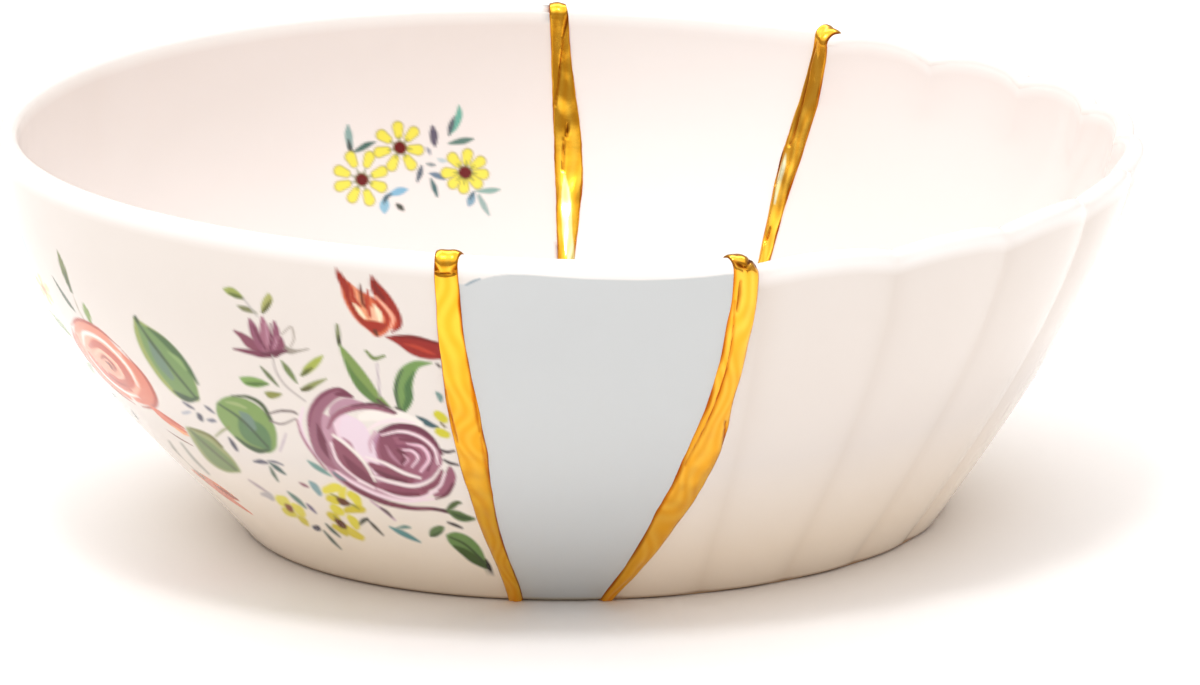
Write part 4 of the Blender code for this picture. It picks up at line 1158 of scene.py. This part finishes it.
def seam_tint(points, across, rows, side, end, seed):
    """The gold's tint and how deeply each point is creased: the creases' strokes, the pale forks and the wear.
    Strokes are laid only on the rows that the viewer sees, front outside or back inside."""
    flat = points.reshape(-1, 3)
    ink = np.tile([1.0, 1.0, 1.0, 0.0], (len(flat), 1))
    shown = rows < 1.65 if end < 0 else (rows > 1.35) & (rows < 3.3)
    shown = np.broadcast_to(shown, points.shape[:-1]).reshape(-1)
    at = shown_on_drawing(flat, shown)
    paint_motif(ink, at, SHADED_CREASES[side, end])
    if (side, end) in PAINTED_HIGHLIGHT_FORKS:
        thick, *path = PAINTED_HIGHLIGHT_FORKS[side, end]
        kept = np.ones((len(flat), 4))
        stroke(kept, at, "000000", path, thick, soft=1.6)
        # Painted highlight: the gold is tinted pale inside each fork
        ink[:, :3] = PAINTED_HIGHLIGHT_TINT + (ink[:, :3] - PAINTED_HIGHLIGHT_TINT) * kept[:, :1]
    ink = ink.reshape(points.shape[:-1] + (4,))
    ink[..., :3] *= wear_and_painted_light(points, across, seed)
    return ink


def wear_and_painted_light(points, across, seed):
    """What the leaf's colour is multiplied by: the burnisher's long drags lie paler and deeper side by side, as a
    wavering sine of the way across, and their paler streaks also stand in for reflection, as painted sheen. The
    lacquer shows through in full at the very edge, falling to none a fifth of the way in, and this browner edge
    also stands in for the bead's dark edge, as painted shade."""
    reach = 0.8 + 0.06 * lumps(points, 0.006, seed + 3)
    worn_and_painted_light = np.clip((np.abs(across) - reach) / 0.16, 0, 1)[..., None]
    drag = np.sin(8 * across + 6 * lumps(points, 0.014, seed + 5))[..., None] * (1 - worn_and_painted_light)
    return (1 + drag * DRAG_AND_SHEEN_TINT) * (1 - worn_and_painted_light * (1 - np.array(linear(LACQUER_AND_EDGE_SHADE)[:3])))


def gold_seam(name, side, fluting, seed):
    """A seam: a skin of rows right round the bowl's section, and a zipped wall down in each broken edge.

    The rows run up the front wall, over its lip and down its inside, across the floor, up and over the back
    wall and home under the foot. Each row has 31 points across, closer toward the edges as a sine spaces them,
    and its width wavers by up to a fifteenth.
    """
    across = np.sin(np.linspace(-math.pi / 2, math.pi / 2, 31))
    up, over, down = np.linspace(0, 1, 260), np.linspace(1, 2, 26)[1:], np.linspace(2, 3, 220)[1:]
    rows = np.concatenate([ring_rows, up, over, down, floor_rows])[:, None]
    lip_at = len(ring_rows) + len(up) + len(over) // 2 + 1
    flutes = fluting * (1 + across) / 2
    ends, tints = [], []
    for end in (-1, 1):
        plain_points = on_crack(side, across, end, rows, flutes, 0)
        waver = 0.05 * lumps(plain_points, 0.009, seed + 4) + 0.02 * lumps(plain_points, 0.003, seed)
        ragged = across * (1.08 + waver)
        plain_points = on_crack(side, ragged, end, rows, flutes, 0)
        tint = seam_tint(plain_points, across, rows, side, end, seed)
        rise = bead(plain_points, across, seed) - CREASE_DEPTH * tint[..., 3] * (1 - across**4)
        new = on_crack(side, ragged, end, rows, flutes, np.where(rows < 0, 0, rise))
        new[..., 2] = np.where(rows < 0, new[..., 2] - np.maximum(rise, 0), new[..., 2])
        new[..., 2] = np.maximum(new[..., 2], TABLE_CLEARANCE)
        ends.append(new)
        tints.append(tint)
    front, back = ends
    spans = []
    for row, height, sign, count in ((-1, FLOOR_HEIGHT, 1, 200), (0, FOOT_RECESS, -1, 90)):
        y = front[row, :, 1] + (back[row, :, 1] - front[row, :, 1]) * np.linspace(0, 1, count + 2)[1:-1, None]
        flat = np.stack([crack_side(side, across, y), y, np.full(y.shape, height)], -1)
        tints.append(np.concatenate([wear_and_painted_light(flat, across, seed), np.zeros(y.shape + (1,))], -1))
        flat[..., 2] = np.maximum(flat[..., 2] + sign * bead(flat, across, seed), TABLE_CLEARANCE)
        spans.append(flat)
    floor, under = spans
    around = np.concatenate([front, floor, back[::-1], under[::-1]])
    tint = np.concatenate([tints[0], tints[2], tints[1][::-1], tints[3][::-1]])
    index = np.arange(around[..., 0].size).reshape(around.shape[:-1])
    faces = [grid_faces(np.concatenate([index, index[:1]]))]
    turn = np.roll(index, -lip_at, 0)
    turned = np.roll(around, -lip_at, 0)
    far_lip = len(front) + len(floor) + len(front) - 2 * lip_at
    for edge in (0, -1):
        inner, inner_at = turn[: far_lip + 1, edge], turned[: far_lip + 1, edge]
        outer = np.append(turn[far_lip:, edge], turn[0, edge])[::-1]
        outer_at = np.concatenate([turned[far_lip:, edge], turned[:1, edge]])[::-1]
        faces.append(zip_faces(inner, way_along(inner_at), outer, way_along(outer_at)))
    return new_piece(name, around.reshape(-1, 3), np.concatenate(faces), [], tint.reshape(-1, 4))


def burnished_gold(name, colour):
    """Gold leaf burnished over lacquer: a mirror-like metal with soft drags and a few duller patches. Its colour
    carries painted shade in its creases and pits, painted highlights and painted sheen, and a browner edge, where
    the lacquer shows through and also stands in for painted shade.

    The duller patches are some 6 mm across and the drags 2.4 mm, both drawn coarser than a real burnisher
    leaves them so that they show.
    """
    made, tree = new_material(name)
    place = add(tree, "ShaderNodeTexCoord").outputs["Object"]
    dull = add(tree, "ShaderNodeTexNoise", {"Vector": place, "Scale": 160.0, "Detail": 3.0, "Roughness": 0.6})
    rough = add(
        tree,
        "ShaderNodeMapRange",
        {"Value": dull.outputs["Fac"], "From Min": 0.35, "From Max": 0.75, "To Min": 0.12, "To Max": 0.3},
    )
    # The paint attribute: painted shade in the creases, painted highlights and sheen, and the browner edges
    worn_and_painted_light = add(tree, "ShaderNodeVertexColor", layer_name="paint")
    leaf = add(
        tree,
        "ShaderNodeMix",
        {"Factor": 1.0, "A": linear(colour), "B": worn_and_painted_light.outputs["Color"]},
        data_type="RGBA",
        blend_type="MULTIPLY",
    )
    drag = add(tree, "ShaderNodeTexNoise", {"Vector": place, "Scale": 420.0, "Detail": 2.0, "Roughness": 0.5})
    bump = add(tree, "ShaderNodeBump", {"Height": drag.outputs["Fac"], "Strength": 0.2, "Distance": 0.0002})
    shader = add(
        tree,
        "ShaderNodeBsdfPrincipled",
        {
            "Base Color": leaf.outputs["Result"],
            "Metallic": 1.0,
            "Roughness": rough.outputs["Result"],
            "Normal": bump.outputs["Normal"],
        },
    )
    add(tree, "ShaderNodeOutputMaterial", {"Surface": shader.outputs["BSDF"]})
    return made


for side, fluting, colour, seed in (("left", 0, "F9B936", 11), ("right", 1, "F8B83C", 23)):
    seam = gold_seam(side + "_gold_bead", side, fluting, seed)
    seam.data.materials.append(burnished_gold(side + "_burnished_gold", colour))
    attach(seam, "root")
    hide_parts(side + "_gold_seam")

# Table, light and camera: a plain white table, a long soft light overhead and a little behind, a smaller one
# high in front, a room that is dim low down and white above, and the viewer in front.

table = bpy.data.meshes.new("table_top")
table.from_pydata([(-6, -6, 0), (6, -6, 0), (6, 6, 0), (-6, 6, 0)], [], [(0, 1, 2, 3)])
table_top = bpy.data.objects.new("table_top", table)
bpy.context.scene.collection.objects.link(table_top)
# Matt white paper: even and nearly without gloss, so that only the bowl's soft shadow shows on it
paper, tree = new_material("white_paper")
shader = add(tree, "ShaderNodeBsdfPrincipled", {"Base Color": linear("FBFAFA"), "Roughness": 0.7})
add(tree, "ShaderNodeOutputMaterial", {"Surface": shader.outputs["BSDF"]})
table.materials.append(paper)


def soft_light(name, place, target, size, power):
    """A white rectangle of light at a place, turned to face the target: sizes in metres, power in watts."""
    data = bpy.data.lights.new(name, "AREA")
    data.shape = "RECTANGLE"
    data.size, data.size_y = size
    data.energy = power
    lamp = bpy.data.objects.new(name, data)
    bpy.context.scene.collection.objects.link(lamp)
    way = np.array(target, float) - np.array(place, float)
    lamp.location = place
    pitch = math.atan2(math.hypot(way[0], way[1]), -way[2])
    lamp.rotation_euler = (pitch, 0, math.atan2(-way[0], way[1]))


soft_light("overhead", (-0.25, 0.7, 1.4), (0, 0, 0), (3.0, 0.22), 12.4)
soft_light("front_key", (-0.12, -0.55, 1.6), (0, 0, 0.03), (0.32, 0.26), 7.6)

world = bpy.data.worlds.new("studio")
bpy.context.scene.world = world
world.use_nodes = True
tree = world.node_tree
way = add(tree, "ShaderNodeSeparateXYZ", {"Vector": add(tree, "ShaderNodeTexCoord").outputs["Generated"]})
height = add(
    tree,
    "ShaderNodeMapRange",
    {"Value": way.outputs["Z"], "From Min": 0.42, "From Max": 0.85},
    interpolation_type="SMOOTHSTEP",
)
sky = add(
    tree,
    "ShaderNodeMix",
    {"Factor": height.outputs["Result"], "A": linear("958A80"), "B": linear("FFFFFF")},
    data_type="RGBA",
)
tree.links.new(sky.outputs["Result"], tree.nodes["Background"].inputs["Color"])
tree.nodes["Background"].inputs["Strength"].default_value = 1.5
bpy.context.scene.view_settings.view_transform = "Standard"

lens = bpy.data.cameras.new("viewer")
lens.sensor_width = 36.0
lens.lens = VIEW_FOCUS * lens.sensor_width / (2 * VIEW_MIDDLE[0])
camera = bpy.data.objects.new("viewer", lens)
bpy.context.scene.collection.objects.link(camera)
right, up, ahead = view_axes()
turn = Matrix(np.stack([right, up, -ahead], 1).tolist()).to_4x4()
camera.matrix_world = Matrix.Translation((VIEW_TARGET + AXIS - ahead * VIEW_DISTANCE).tolist()) @ turn
lens.clip_end = 50.0
bpy.context.scene.camera = camera
